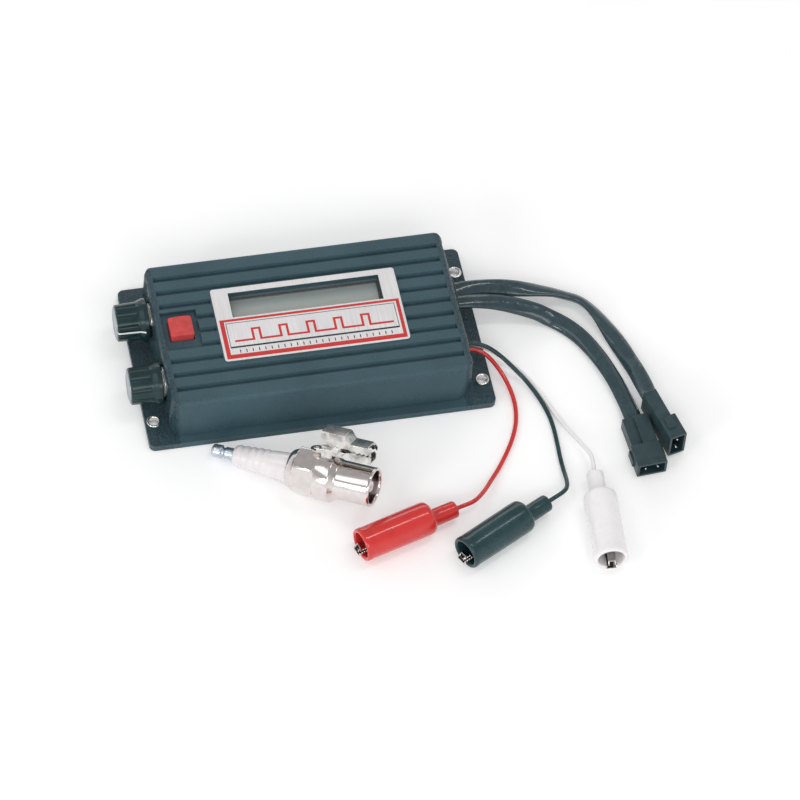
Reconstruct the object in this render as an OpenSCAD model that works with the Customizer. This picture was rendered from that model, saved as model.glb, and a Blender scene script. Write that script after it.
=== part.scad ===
// Ignition tester: a ribbed cast box with a display, a button and two knobs,
// a two-cable harness, three booted clip leads and a loose test plug.
// Millimetres, +Z up. The origin is the middle of the box's standing face.
// +X points to the end where the cables leave, -X to the knobs, -Y to the user.

/* [Housing] */
// Ledge of the mounting flange past each end of the body
flange_end = 10; // [9:0.5:14]
// Ledge of the mounting flange past each long side of the body
flange_side = 4.5; // [4:0.5:10]
// Thickness of the mounting flange
flange_t = 3.5; // [3:0.5:5]
// Radius of the flange corners
flange_r = 3; // [1:0.5:5]
// Length of the ribbed body at the standing face
body_l = 145; // [132:1:170]
// Depth of the ribbed body at the standing face
body_w = 83; // [78:1:90]
// Height from the standing face to the rib tops
body_h = 27; // [25:0.5:32]
// Lean of each end wall over the body height
end_lean = 1; // [0.5:0.1:1.5]
// Lean of each long wall over the body height
side_lean = 0.75; // [0.5:0.25:3]
// Radius of the rounded top edges
edge_r = 2.5; // [2:0.25:6]
// Radius of the upright corners
corner_r = 9; // [4:0.5:9]
// Thickness of the long walls
side_wall = 2.5; // [2:0.25:3]
// Thickness of the end walls
end_wall = 3; // [2.75:0.25:3.5]
// Thickness of the roof, rib tops to inside
roof_t = 4; // [3.5:0.25:4.5]
// Radius of the hollow that frees each mounting hole
scallop_r = 7.5; // [6.5:0.25:7.5]

/* [Ribs] */
// Number of grooves across the top
groove_n = 9; // [7:2:9]
// Distance between grooves
groove_pitch = 8; // [7.5:0.1:8.2]
// Width of a groove at the rib tops
groove_w = 3; // [2:0.25:3.5]
// Width of a groove at its floor
groove_floor = 1.4; // [0.8:0.1:1.8]
// Depth of a groove
groove_d = 2; // [1:0.1:2.2]
// Length of the grooves
groove_l = 136; // [130:1:137]

/* [Mounting holes] */
// Distance of the holes past the ends of the body
hole_out = 5.9; // [5:0.1:6.5]
// Distance of the holes inside the long sides of the body
hole_in = 9.7; // [7:0.1:10]
// Bore of an eyelet
eyelet_bore = 4.2; // [3.5:0.1:4.4]
// Outside diameter of an eyelet's tube
eyelet_tube = 5.2; // [4.8:0.1:5.4]
// Diameter of an eyelet's rolled rim
eyelet_rim = 6.6; // [6.2:0.1:7]
// Height of the rolled rim
eyelet_lip = 0.6; // [0.4:0.1:1]

/* [Face plate and display] */
// Length of the face plate
label_l = 88; // [84:1:92]
// Depth of the face plate
label_w = 42; // [40:1:46]
// Thickness of the face plate
label_t = 0.6; // [0.4:0.1:1]
// Radius of the face plate corners
label_r = 1.5; // [0.5:0.25:3]
// Face plate centre along the box
label_x = 1; // [0:0.5:3]
// Face plate centre across the box
label_y = 1; // [0:0.5:2]
// Length of the display window
lcd_l = 72; // [64:1:74]
// Depth of the display window
lcd_w = 14.4; // [13:0.2:16]
// Window centre behind the face plate's middle
lcd_dy = 10.8; // [10:0.2:11.5]
// Width of the display frame round the window
lcd_border = 4; // [3:0.25:5]
// Thickness of the clear window
lcd_window_t = 1.5; // [1:0.1:2]
// Depth of the display frame below the roof
lcd_frame_h = 5; // [4:0.5:6]
// Lip of the frame that the window rests on
lcd_lip = 1; // [0.6:0.1:1.5]
// Thickness of that lip
lcd_lip_t = 0.8; // [0.6:0.1:1.2]
// Wall of the display frame
lcd_wall = 1.6; // [1.2:0.1:2]
// Thickness of the display glass
lcd_glass_t = 2.4; // [1.6:0.1:2.8]

/* [Test button] */
// Distance of the button's centre from the knob end of the body
button_in = 12.5; // [12:0.5:14]
// Button centre across the box
button_y = 2.5; // [0:0.5:3]
// Side of the square button
button_w = 11; // [9:0.5:12]
// Height of the button above the rib tops
button_rise = 2.2; // [1.8:0.1:3]
// Travel of the button
button_travel = 1.5; // [0.5:0.1:1.6]
// Side of the sunk pad round the button, along the box
pad_l = 17; // [15:0.5:18]
// Side of the sunk pad across the box
pad_w = 20; // [17:0.5:22]
// Overhang of the button's foot under the roof
button_foot = 1; // [0.6:0.1:1.5]
// Thickness of the button's foot
button_foot_t = 1; // [0.6:0.1:1.5]
// Diameter of the button's stem
stem_d = 4; // [3:0.25:5]
// Length of the stem below the foot
stem_l = 8; // [6.5:0.25:8.5]
// Side of the switch under the button
switch_w = 12; // [11:0.5:14]
// Height of the switch
switch_h = 10; // [9:0.5:10.5]

/* [Knobs and controls] */
// Distance of each control from the box's middle line
knob_y = 18.5; // [16:0.5:19.5]
// Diameter of a knob's flared skirt
skirt_d = 20.6; // [18:0.2:21]
// Height of the skirt
skirt_h = 3; // [2:0.25:4]
// Diameter of a knob at its waist
knob_d = 18.4; // [16:0.2:18.6]
// Diameter of a knob at its end
knob_end_d = 17.6; // [16:0.2:18.4]
// Length of a knob
knob_l = 15; // [14.5:0.5:19]
// Number of finger flutes
flute_n = 10; // [8:1:12]
// Diameter of a flute
flute_d = 3.4; // [2.4:0.2:4]
// Depth of a flute
flute_depth = 0.8; // [0.4:0.1:1.2]
// Diameter of the metal end cap
cap_d = 14.4; // [12:0.2:15]
// Thickness of the end cap
cap_t = 1; // [0.6:0.1:1.4]
// Height of the end cap above the knob
cap_rise = 0.4; // [0.2:0.1:0.6]
// Gap between the flange and the skirt
skirt_gap = 1.5; // [0.8:0.1:2]
// Diameter of a control shaft
shaft_d = 6; // [5:0.25:6.35]
// Depth of the shaft's hole in the knob
shaft_grip = 11; // [8:0.5:11]
// Diameter of a control's threaded bush
bush_d = 9.4; // [8:0.2:9.6]
// Length of the bush outside the panel
bush_l = 4.2; // [3.8:0.1:4.5]
// Diameter of a control's can
can_d = 14.6; // [13:0.2:14.8]
// Length of a control's can
can_l = 9; // [7:0.5:10]
// Thickness of the panel under the controls
panel_t = 1.8; // [1.5:0.1:2]
// Depth of the flat that each end fitting seats on
seat_d = 1.2; // [1.1:0.05:1.4]
// Diameter of a control's washer
washer_d = 15; // [13:0.5:16]
// Thickness of the washer
washer_t = 0.8; // [0.5:0.1:1]
// Width of the nut across its flats
nut_af = 12.7; // [12:0.1:14]
// Thickness of the nut
nut_t = 2.3; // [1.8:0.1:2.5]

/* [Inside] */
// Thickness of the base plate
plate_t = 2; // [1.6:0.1:2.2]
// Width of the ledge that the base plate seats on
plate_ledge = 1.5; // [1:0.25:2]
// Diameter of a corner boss
boss_d = 8; // [7:0.25:8.5]
// Distance of the bosses from the long walls' inner face
boss_in_y = 3.5; // [3:0.25:4]
// Distance of the bosses from the end walls' inner face
boss_in_x = 3.5; // [3:0.25:4]
// Diameter of a base screw
screw_d = 3; // [2.5:0.25:3.5]
// Length of a base screw's shank
screw_l = 9; // [7:0.5:12]
// Diameter of a base screw's head
screw_head_d = 5.6; // [5:0.2:6]
// Distance of the circuit board from the end walls
board_end = 3; // [2.8:0.1:5]
// Distance of the circuit board from the long walls
board_side = 8.5; // [8:0.25:10]
// Thickness of the circuit board
board_t = 1.6; // [1.2:0.1:2]
// Height of the posts under the board
post_h = 2.5; // [2:0.25:2.5]
// Diameter of the posts
post_d = 6; // [5:0.25:7]
// Diameter of a board screw
board_screw_d = 2.5; // [2:0.1:3]
// Length of the display header
header_l = 40; // [30:1:50]
// Width of a cable terminal
block_w = 11; // [9:0.5:12]
// Depth of a cable terminal
block_l = 7; // [5:0.5:8]
// Height of a cable terminal
block_h = 8; // [6:0.5:9]
// Diameter of the coil
coil_d = 20; // [16:0.5:22]
// Height of the coil
coil_h = 11; // [8:0.5:12]
// Diameter of a capacitor
capacitor_d = 8; // [6:0.5:10]
// Height of a capacitor
capacitor_h = 12; // [9:0.5:13]
// Length of a chip
chip_l = 18; // [14:0.5:20]
// Width of a chip
chip_w = 8; // [6:0.5:9]
// Height of a chip
chip_h = 3; // [2:0.25:4]
// Space between the parts on the board
part_gap = 5; // [4:0.5:7]

/* [Cable exits] */
// Harness grommet centre across the box
harness_y = 11; // [9:0.5:13]
// Harness grommet centre height
harness_z = 13; // [12:0.5:14]
// Space between the two harness cables
harness_clear = 0.6; // [0.4:0.1:1.2]
// Diameter of a harness cable
sleeve_d = 5.8; // [5:0.1:6]
// Lead grommet centre across the box
lead_y = -17; // [-19:0.5:-15]
// Lead grommet centre height
lead_z = 11; // [10:0.5:12]
// Diameter of a test lead
lead_d = 2.1; // [1.6:0.1:2.2]
// Rubber round the cables in a grommet
grommet_rubber = 2; // [1.5:0.1:2.5]
// Overhang of a grommet's flanges
grommet_lip = 1.8; // [1.2:0.1:2.2]
// Thickness of a grommet's flanges
grommet_t = 2.4; // [1.5:0.1:3]

/* [Harness plugs] */
// Length of a harness plug
plug_body_l = 29; // [26:0.5:32]
// Width of its mating end
plug_body_w = 14.4; // [13:0.2:14.8]
// Height of its mating end
plug_body_h = 8.6; // [8:0.2:10]
// Length of its mating end
plug_mouth_l = 12.5; // [12:0.5:18]
// Narrowing of its cable end on each side
plug_step = 1; // [0.5:0.1:1.5]
// Wall round its mouth
plug_wall = 1.2; // [1:0.1:1.5]
// Depth of its mouth
plug_depth = 11; // [9:0.5:12]
// How far the two plugs close up at their cable ends
plug_fan = 1.2; // [0.5:0.1:1.5]
// Reach of the side ears past its mating end
ear_w = 0.9; // [0.5:0.1:1.2]
// Length of the side ears
ear_l = 6.5; // [5:0.5:8]
// Diameter of a contact pin
contact_d = 1.8; // [1.4:0.1:2]
// Distance between the contact pins
contact_gap = 6; // [5.8:0.1:7]
// Length of a contact pin in the mouth
contact_l = 10.4; // [6:0.2:10.8]

/* [Clip boots] */
// Diameter of a boot
boot_d = 16; // [15:0.2:17]
// Length of a boot's body
boot_l = 37; // [34:0.5:42]
// Bore of a boot
boot_bore = 12; // [11.6:0.1:12.4]
// Thickness of the boot's back wall
boot_back = 3; // [2:0.25:4]
// Radius of the boot's shoulder
boot_shoulder = 3; // [1.5:0.25:3.5]
// Diameter of a boot's neck
neck_d = 8.4; // [7:0.2:9]
// Length of a boot's neck
neck_l = 13; // [10:0.5:16]
// Drop of the neck and clip below the boot's axis
clip_drop = 2.2; // [1.8:0.1:2.4]
// Travel of a boot along its lead
boot_travel = 8; // [4:0.5:8]
// Reach of the jaws past the boot's mouth
jaw_reach = 2; // [1:0.25:3]

/* [Lead clips] */
// Width of a lead clip
clip_w = 5; // [4.6:0.1:5.2]
// Height of each jaw
clip_h = 2.3; // [2:0.1:2.4]
// Thickness of the clip's metal
clip_t = 0.5; // [0.4:0.05:0.6]
// Hinge to jaw tip
clip_front = 17; // [15:0.5:18]
// Hinge to thumb end
clip_thumb = 8; // [6:0.5:9]
// Hinge to crimp end
clip_tail = 13; // [11:0.5:14]
// Diameter of the hinge pin
clip_pin_d = 1.2; // [1:0.05:1.4]
// Diameter of the crimp on the lead
crimp_d = 3; // [2.6:0.1:3.2]
// Length of the crimp
crimp_l = 3.5; // [2:0.25:4]

/* [Test plug] */
// Diameter of the terminal nut
terminal_d = 6.4; // [6:0.1:6.6]
// Length of the terminal nut
terminal_l = 11; // [10:0.5:12]
// Diameter of the insulator at its first rib
insulator_d = 10; // [9.4:0.2:12.4]
// Diameter of the insulator at the shell
insulator_shell_d = 14.2; // [12.6:0.2:14.6]
// Length of the insulator outside the shell
insulator_l = 28; // [26:0.5:30]
// Number of insulator ribs
insulator_ribs = 5; // [4:1:6]
// Length of the domed crimp in front of the hex
dome_l = 3.5; // [2.5:0.25:4]
// Width of the hex across its flats
hex_af = 20.8; // [20.6:0.1:21]
// Length of the hex
hex_l = 11; // [9:0.5:12]
// Diameter of the collar after the hex
collar_d = 23.2; // [22.4:0.2:23.8]
// Length of the collar
collar_l = 7.5; // [7:0.5:11]
// Length of the cone between collar and barrel
cone_l = 4; // [1:0.2:4.6]
// Diameter of the barrel
barrel_d = 18.8; // [18.6:0.2:20.4]
// Length of the barrel
barrel_l = 16; // [14:0.5:18]
// Bore of the barrel's mouth
mouth_d = 15.4; // [14.6:0.2:16]
// Depth of the mouth
mouth_depth = 15; // [13:0.5:17]
// Diameter of the insulator's nose
nose_d = 5.6; // [4.6:0.2:6]
// Depth of the nose's end below the rim
nose_in = 1.6; // [1.5:0.1:4]
// Diameter of the centre electrode
electrode_d = 2.4; // [2:0.1:2.8]
// Plug's terminal end along the box
test_plug_x = -54; // [-58:0.5:-48]
// Distance of the plug's terminal end in front of the flange
test_plug_gap = 5.5; // [5:0.5:12]
// Heading of the plug
test_plug_turn = -32; // [-40:1:-28]

/* [Test plug clip] */
// Width of the plug's clip
pclip_w = 9.6; // [9:0.2:10.4]
// Height of each of its jaws
pclip_h = 4; // [3.6:0.1:4.4]
// Thickness of its metal
pclip_t = 0.7; // [0.6:0.05:0.8]
// Hinge to jaw tip
pclip_front = 17; // [15:0.5:19]
// Hinge to thumb end
pclip_thumb = 8; // [7:0.5:10]
// Hinge to tail end
pclip_tail = 10; // [9:0.5:12]
// Rise of the thumb box above the jaw
pclip_rise = 3.5; // [2.5:0.25:5]
// Diameter of its hinge pin
pclip_pin_d = 1.8; // [1.4:0.1:2]
// Hinge position along the plug, from the terminal end
pclip_at = 62; // [60:0.5:63]
// Roll of the clip round the plug, from straight up
pclip_roll = 30; // [26:1:34]
// Turns of its spring
spring_turns = 3; // [2:1:3]
// Wire diameter of its spring
spring_wire = 0.5; // [0.4:0.05:0.55]
// Mean radius of its spring
spring_r = 1.7; // [1.6:0.1:2]

/* [Fits] */
// Play of a part that turns or slides in a close bore, on the radius
run_fit = 0.05; // [0.03:0.01:0.08]
// Play between still parts that drop into each other
set_fit = 0.15; // [0.1:0.05:0.25]
// Play of a loose moving part at each side
free_fit = 0.3; // [0.2:0.05:0.4]
// Clearance of loose pieces above the standing face
floor_gap = 0.1; // [0.05:0.05:0.3]

/* [Hidden] */
$fn = 48;
eps = 0.02;

// Levels and planes of the box
flange_l = body_l + 2*flange_end;
flange_w = body_w + 2*flange_side;
hole_dx = body_l + 2*hole_out;
hole_dy = body_w - 2*hole_in;
button_x = button_in - body_l/2;
roof_z = body_h - roof_t;
board_z = plate_t + post_h;
board_top = board_z + board_t;
end_x = body_l/2 - seat_d;
inner_l = body_l - 2*end_wall;
inner_w = body_w - 2*side_wall;
plate_l = inner_l + 2*plate_ledge;
plate_w = inner_w + 2*plate_ledge;
board_l = inner_l - 2*board_end;
board_w = inner_w - 2*board_side;
boss_x = inner_l/2 - boss_in_x;
boss_y = inner_w/2 - boss_in_y;
post_x = board_l/2 - post_d;
post_y = board_w/2 - post_d/2;
lcd_y = label_y + lcd_dy;
lcd_frame_z = roof_z - lcd_frame_h;
button_foot_z = roof_z - run_fit - button_foot_t;
stem_tip = button_foot_z - stem_l;
switch_floor = stem_tip - button_travel - free_fit;

// Knob and control stack, measured out from the seat on the end wall
knob_z = flange_t + skirt_gap + skirt_d/2;
knob_back = seat_d + 0.6;
nut_room_r = nut_af/2/cos(30) + free_fit;
nut_room = bush_l + free_fit - knob_back;
waist_z = skirt_h + 1.4;
lug_l = knob_z - can_d/2 - board_top;

// Faces where the cables begin
cable_x = end_x + grommet_t;
outward = [1, 0, 0];
harness_gap = sleeve_d + harness_clear;
lead_spread = lead_d/2 + 0.3;
lead_tri = [[-1.2*lead_spread, -0.7*lead_spread], [0, 1.2*lead_spread], [1.2*lead_spread, -0.7*lead_spread]];

// Boots: mouth centre on the floor and heading from mouth to neck
boot_z = boot_d/2 + floor_gap;
clip_z = boot_z - clip_drop;
red_place = [[2.5, -118.5], 17];
black_place = [[49, -130.5], 28];
white_place = [[115, -144.5], 86];
boot_all = boot_l + neck_l;
hinge_s = clip_front - jaw_reach;
crimp_s = hinge_s + clip_tail;

// Harness plugs: cable end on the floor and heading towards the mouth
// The rear one stands on its narrow side
front_plug_place = [[144, -66.5], -86];
rear_plug_place = [[front_plug_place[0][0] + plug_body_w/2 - plug_step + plug_body_h/2 - plug_fan, -58], -77];
plug_mid = plug_body_h/2 + floor_gap;
rear_plug_mid = plug_body_w/2 + ear_w + floor_gap;
rear_plug_roll = -90;

// Cable routes, hand-laid on the standing face
front_sleeve_run = [[82, 7.4, 12.6], [93, 6.4, 10.6], [104, 4.2, 7.6], [114, 0.8, 4.8],
    [122.5, -5, 3.4], [130, -14, 3.1], [136, -26.5, 3.1], [140.2, -40, 3.1], [142.6, -52, 3.4],
    [143.6, -60, 4]];
rear_sleeve_run = [[82, 14.4, 12.7], [94, 14.6, 11], [106, 14, 8.6], [117, 12.8, 6.2],
    [126.5, 10.6, 4.4], [134, 6.5, 3.4], [139.5, -1, 3.1], [144, -11.5, 3.1], [147.8, -24, 3.4],
    [150.6, -37, 4.8], [152.4, -49, 6.8]];
red_run = [[77, -18.6, 9.9], [82, -21.4, 8.4], [86, -26.5, 6], [89, -33, 3.7], [90.8, -40.5, 2],
    [91, -48.5, 1.3], [89.4, -57, 1.2], [86, -65.5, 1.2], [81.4, -73.5, 1.2], [76, -81.5, 1.4],
    [70.6, -88.6, 2.4], [65.5, -95.4, 4.2]];
black_run = [[77, -17, 12.4], [83, -19, 11], [88.5, -23, 8.5], [94, -29, 5.5], [99, -36, 3],
    [103, -45, 1.6], [105.4, -54, 1.2], [106.2, -63, 1.2], [106, -72, 1.2], [105.6, -80, 1.3],
    [105.4, -87.5, 2], [105.2, -94.5, 3.6], [104.2, -99.2, 5]];
white_run = [[77, -15.6, 9.9], [83, -17, 7.6], [90, -20.8, 4.2], [96, -26.6, 1.8],
    [101.2, -35, 1.2], [105.6, -45.5, 1.2], [109, -56, 1.4], [112.4, -65.5, 2.3],
    [115.4, -73, 3.6], [117.8, -80, 5.1]];

// Test plug stations along its axis, from the terminal end
insulator_s = terminal_l;
dome_s = insulator_s + insulator_l;
hex_s = dome_s + dome_l;
collar_s = hex_s + hex_l;
cone_s = collar_s + collar_l;
barrel_s = cone_s + cone_l;
rim_s = barrel_s + barrel_l;
terminal_lead = 1.4;
terminal_bulge = 4.6;
hex_lead = 0.15;
hex_r = hex_af/2/cos(30);
// It lies back on its terminal and on one flat of its hex
test_plug_y = -flange_w/2 - test_plug_gap;
test_plug_tilt = atan((hex_af - terminal_d)/2/(hex_s + hex_lead - terminal_lead));
test_plug_z = floor_gap + terminal_d/2*cos(test_plug_tilt) - terminal_lead*sin(test_plug_tilt);
pclip_z = max(collar_d/2, hex_r) + pclip_h + 0.3;
pclip_base_w = pclip_w - 2*pclip_t - 2*free_fit;

function unit(v) = v/norm(v);
function heading(a) = [cos(a), sin(a), 0];
function boot_point(place, s) = [place[0][0], place[0][1], clip_z] + s*heading(place[1]);
function plug_tail(place, z) = [place[0][0], place[0][1], z];

// The lead's straight end: behind the neck, through it and into the crimp
function lead_end(place) = [boot_point(place, boot_all + boot_travel + 1.5),
    boot_point(place, boot_all), boot_point(place, boot_l), boot_point(place, crimp_s)];
function lead_start(i) = [cable_x, lead_y + lead_tri[i][0], lead_z + lead_tri[i][1]];
function lead_route(i, run, place) = concat([lead_start(i)], run, lead_end(place));

function tangent_at(p, i) = unit(p[i + 1] - p[i - 1]);
function ring(c, t, r, sides) =
    let(side = unit(cross(t, [0, 0, 1])), lift = cross(side, t))
    [for (k = [0:sides - 1]) c + r*(cos(360*k/sides)*side + sin(360*k/sides)*lift)];
function tube_wall(n, sides) = [for (i = [0:n - 2]) for (k = [0:sides - 1])
    let(a = i*sides + k, b = i*sides + (k + 1)%sides)
    each [[a, b, b + sides], [a, b + sides, a + sides]]];
function tube_caps(n, sides) = [for (k = [1:sides - 2])
    each [[0, k + 1, k], [(n - 1)*sides, (n - 1)*sides + k, (n - 1)*sides + k + 1]]];

// One unbroken tube along a route, square to what it meets at each end
module tube(route, d, sides, way_in, way_out) {
    last = len(route) - 1;
    ways = concat([way_in], [for (i = [1:last - 1]) tangent_at(route, i)], [way_out]);
    rings = [for (i = [0:last]) each ring(route[i], ways[i], d/2, sides)];
    polyhedron(rings, concat(tube_wall(len(route), sides), tube_caps(len(route), sides)));
}

// Flat outlines
module rounded_rect(l, w, r) {
    square([l - 2*r, w], center = true);
    square([l, w - 2*r], center = true);
    for (x = [-1, 1], y = [-1, 1])
        translate([x*(l/2 - r), y*(w/2 - r)])
            circle(r);
}

module stadium(l, d) {
    square([l - d, d], center = true);
    for (s = [-1, 1])
        translate([s*(l - d)/2, 0])
            circle(d=d);
}

// A leaning wall on each side with a rounded top edge
module wall_outline(base, h, lean, r) {
    slope = atan2(lean, h);
    centre = base/2 - (h - r)*tan(slope) - r/cos(slope);
    touch = [centre + r*cos(slope), h - r + r*sin(slope)];
    polygon([[-base/2, 0], [base/2, 0], touch, [centre, h], [-centre, h], [-touch[0], touch[1]]]);
    for (s = [-1, 1])
        translate([s*centre, h - r])
            circle(r);
}

// Cast box form: two leaning outlines and a rounded footprint in common
module cast_block(l, w, h, r, rc) {
    intersection() {
        translate([0, w/2 + 1, 0])
            rotate([90, 0, 0])
                linear_extrude(w + 2)
                    wall_outline(l, h, end_lean*h/body_h, r);
        translate([-l/2 - 1, 0, 0])
            rotate([90, 0, 90])
                linear_extrude(l + 2)
                    wall_outline(w, h, side_lean*h/body_h, r);
        linear_extrude(h + 1)
            rounded_rect(l, w, rc);
    }
}

module at_corners(dx, dy) {
    for (x = [-1, 1], y = [-1, 1])
        translate([x*dx, y*dy, 0])
            children();
}

// Out of the knob end or the cable end, seated on the end wall
module at_knob_end(y) {
    translate([-end_x, y, knob_z])
        rotate([0, -90, 0])
            children();
}

module at_cable_end(y, z) {
    translate([end_x, y, z])
        rotate([0, 90, 0])
            children();
}

module grooves() {
    difference() {
        for (i = [0:groove_n - 1])
            translate([-groove_l/2, (i - (groove_n - 1)/2)*groove_pitch, body_h])
                rotate([90, 0, 90])
                    linear_extrude(groove_l)
                        polygon([[-groove_w/2, 1], [-groove_w/2, 0], [-groove_floor/2, -groove_d],
                            [groove_floor/2, -groove_d], [groove_w/2, 0], [groove_w/2, 1]]);
        translate([label_x, label_y, body_h])
            cube([label_l + 1, label_w + 1, 4], center = true);
    }
}

module harness_outline(grow) {
    rotate([0, 0, 90])
        stadium(harness_gap + sleeve_d + 2*grow, sleeve_d + 2*grow);
}

module lead_outline(grow) {
    circle(d = 2*lead_spread + 2*lead_d + 2*grow);
}

module housing_shell() {
    color("darkslategray") difference() {
        union() {
            linear_extrude(flange_t)
                rounded_rect(flange_l, flange_w, flange_r);
            difference() {
                cast_block(body_l, body_w, body_h, edge_r, corner_r);
                at_corners(hole_dx/2, hole_dy/2)
                    translate([0, 0, flange_t])
                        cylinder(r = scallop_r, h = body_h);
                for (y = [-knob_y, knob_y])
                    at_knob_end(y)
                        cylinder(d = washer_d + 2, h = 10);
                at_cable_end(harness_y, harness_z)
                    linear_extrude(10)
                        harness_outline(grommet_rubber + grommet_lip + 1);
                at_cable_end(lead_y, lead_z)
                    linear_extrude(10)
                        lead_outline(grommet_rubber + grommet_lip + 1);
            }
        }
        difference() {
            translate([0, 0, -eps])
                cast_block(inner_l, inner_w, roof_z + eps, max(edge_r - side_wall, 0.5), corner_r - side_wall);
            at_corners(boss_x, boss_y)
                translate([0, 0, plate_t])
                    cylinder(d = boss_d, h = body_h);
        }
        translate([0, 0, -eps])
            linear_extrude(plate_t + eps)
                rounded_rect(plate_l, plate_w, corner_r - side_wall);
        at_corners(boss_x, boss_y)
            cylinder(d = screw_d + 2*run_fit, h = plate_t + screw_l + 1);
        at_corners(hole_dx/2, hole_dy/2)
            translate([0, 0, -eps])
                cylinder(d = eyelet_tube + 2*run_fit, h = flange_t + 2*eps);
        grooves();
        translate([button_x, button_y, body_h])
            cube([pad_l, pad_w, 2*groove_d], center = true);
        translate([label_x, lcd_y, body_h])
            cube([lcd_l, lcd_w, 3*roof_t], center = true);
        translate([button_x, button_y, body_h])
            cube([button_w + 2*free_fit, button_w + 2*free_fit, 3*roof_t], center = true);
        for (y = [-knob_y, knob_y])
            at_knob_end(y) {
                translate([0, 0, -10])
                    cylinder(d = bush_d + 2*set_fit, h = 20);
                translate([0, 0, -panel_t - can_l - set_fit])
                    cylinder(d = can_d + 2*set_fit, h = can_l + set_fit);
            }
        at_cable_end(harness_y, harness_z) {
            translate([0, 0, -10])
                linear_extrude(20)
                    harness_outline(grommet_rubber + set_fit);
            translate([0, 0, -panel_t - 6])
                linear_extrude(6)
                    harness_outline(grommet_rubber + grommet_lip + set_fit);
        }
        at_cable_end(lead_y, lead_z) {
            translate([0, 0, -10])
                linear_extrude(20)
                    lead_outline(grommet_rubber + set_fit);
            translate([0, 0, -panel_t - 6])
                linear_extrude(6)
                    lead_outline(grommet_rubber + grommet_lip + set_fit);
        }
    }
}

module base_plate() {
    color("dimgray") difference() {
        union() {
            linear_extrude(plate_t)
                rounded_rect(plate_l - 2*set_fit, plate_w - 2*set_fit, corner_r - side_wall);
            at_corners(post_x, post_y)
                cylinder(d = post_d, h = board_z);
        }
        at_corners(boss_x, boss_y) {
            translate([0, 0, -eps])
                cylinder(d = screw_d + 2*set_fit, h = plate_t + 1);
            translate([0, 0, -eps])
                cylinder(d1 = screw_head_d + 2*set_fit + 2*eps, d2 = screw_d + 2*set_fit, h = plate_t*0.7);
        }
        at_corners(post_x, post_y)
            translate([0, 0, plate_t*0.6])
                cylinder(d = board_screw_d + 2*run_fit, h = board_z);
    }
}

// Countersunk screws, driven from below
module base_screws() {
    color("silver") at_corners(boss_x, boss_y) {
        difference() {
            cylinder(d1 = screw_head_d, d2 = screw_d, h = plate_t*0.7);
            for (a = [0, 90])
                rotate([0, 0, a])
                    cube([screw_head_d*0.6, 0.8, 1.2], center = true);
        }
        translate([0, 0, plate_t*0.7 - eps])
            cylinder(d = screw_d, h = plate_t*0.3 + screw_l);
    }
}

module flange_eyelets() {
    color("gainsboro") at_corners(hole_dx/2, hole_dy/2)
        rotate_extrude()
            difference() {
                union() {
                    square([eyelet_tube/2, flange_t]);
                    translate([0, flange_t])
                        square([eyelet_rim/2 - eyelet_lip/2, eyelet_lip]);
                    translate([eyelet_rim/2 - eyelet_lip/2, flange_t + eyelet_lip/2])
                        circle(d = eyelet_lip, $fn = 24);
                }
                translate([0, -1])
                    square([eyelet_bore/2, flange_t + 3]);
            }
}

module label_plate() {
    color("silver") translate([0, 0, body_h])
        linear_extrude(label_t)
            difference() {
                translate([label_x, label_y])
                    rounded_rect(label_l, label_w, label_r);
                translate([label_x, lcd_y])
                    square([lcd_l, lcd_w], center = true);
            }
}

module lcd_window() {
    color("lightgray", 0.4) translate([label_x, lcd_y, roof_z])
        linear_extrude(lcd_window_t)
            square([lcd_l - 2*set_fit, lcd_w - 2*set_fit], center = true);
}

module lcd_frame() {
    color("black") translate([label_x, lcd_y, lcd_frame_z])
        difference() {
            linear_extrude(lcd_frame_h)
                square([lcd_l + 2*lcd_border, lcd_w + 2*lcd_border], center = true);
            translate([0, 0, -1])
                linear_extrude(lcd_frame_h + 2)
                    square([lcd_l - 2*lcd_lip, lcd_w - 2*lcd_lip], center = true);
            translate([0, 0, -1])
                linear_extrude(lcd_frame_h - lcd_lip_t + 1)
                    square([lcd_l + 2*lcd_border - 2*lcd_wall, lcd_w + 2*lcd_border - 2*lcd_wall],
                        center = true);
        }
}

module lcd_glass() {
    glass_l = lcd_l + 2*lcd_border - 2*lcd_wall - 2*set_fit;
    glass_w = lcd_w + 2*lcd_border - 2*lcd_wall - 2*set_fit;
    color("darkseagreen") translate([label_x, lcd_y, roof_z - lcd_lip_t - lcd_glass_t])
        linear_extrude(lcd_glass_t)
            square([glass_l, glass_w], center = true);
}

// Crowned square button with a retaining foot and a stem
module test_button() {
    crown_r = button_w*2;
    color("firebrick") translate([button_x, button_y, 0]) {
        intersection() {
            translate([0, 0, button_foot_z])
                linear_extrude(body_h + button_rise - button_foot_z)
                    rounded_rect(button_w, button_w, 1);
            translate([0, 0, body_h + button_rise - crown_r])
                rotate([90, 0, 0])
                    cylinder(r = crown_r, h = 2*button_w, center = true, $fn = 96);
        }
        translate([0, 0, button_foot_z])
            linear_extrude(button_foot_t)
                rounded_rect(button_w + 2*button_foot, button_w + 2*button_foot, 1);
        translate([0, 0, stem_tip])
            cylinder(d = stem_d, h = stem_l + eps);
    }
}

module button_switch() {
    color("black") translate([button_x, button_y, 0])
        difference() {
            translate([0, 0, board_top])
                linear_extrude(switch_h)
                    rounded_rect(switch_w, switch_w, 0.8);
            translate([0, 0, switch_floor])
                cylinder(d = stem_d + 2*free_fit, h = switch_h);
        }
}

module button_spring() {
    low = board_top + switch_h;
    length = button_foot_z - low;
    color("silver") translate([button_x, button_y, low])
        difference() {
            cylinder(d = stem_d + 4*free_fit + 2*spring_wire, h = length);
            translate([0, 0, -1])
                cylinder(d = stem_d + 4*free_fit, h = length + 2);
        }
}

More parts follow.
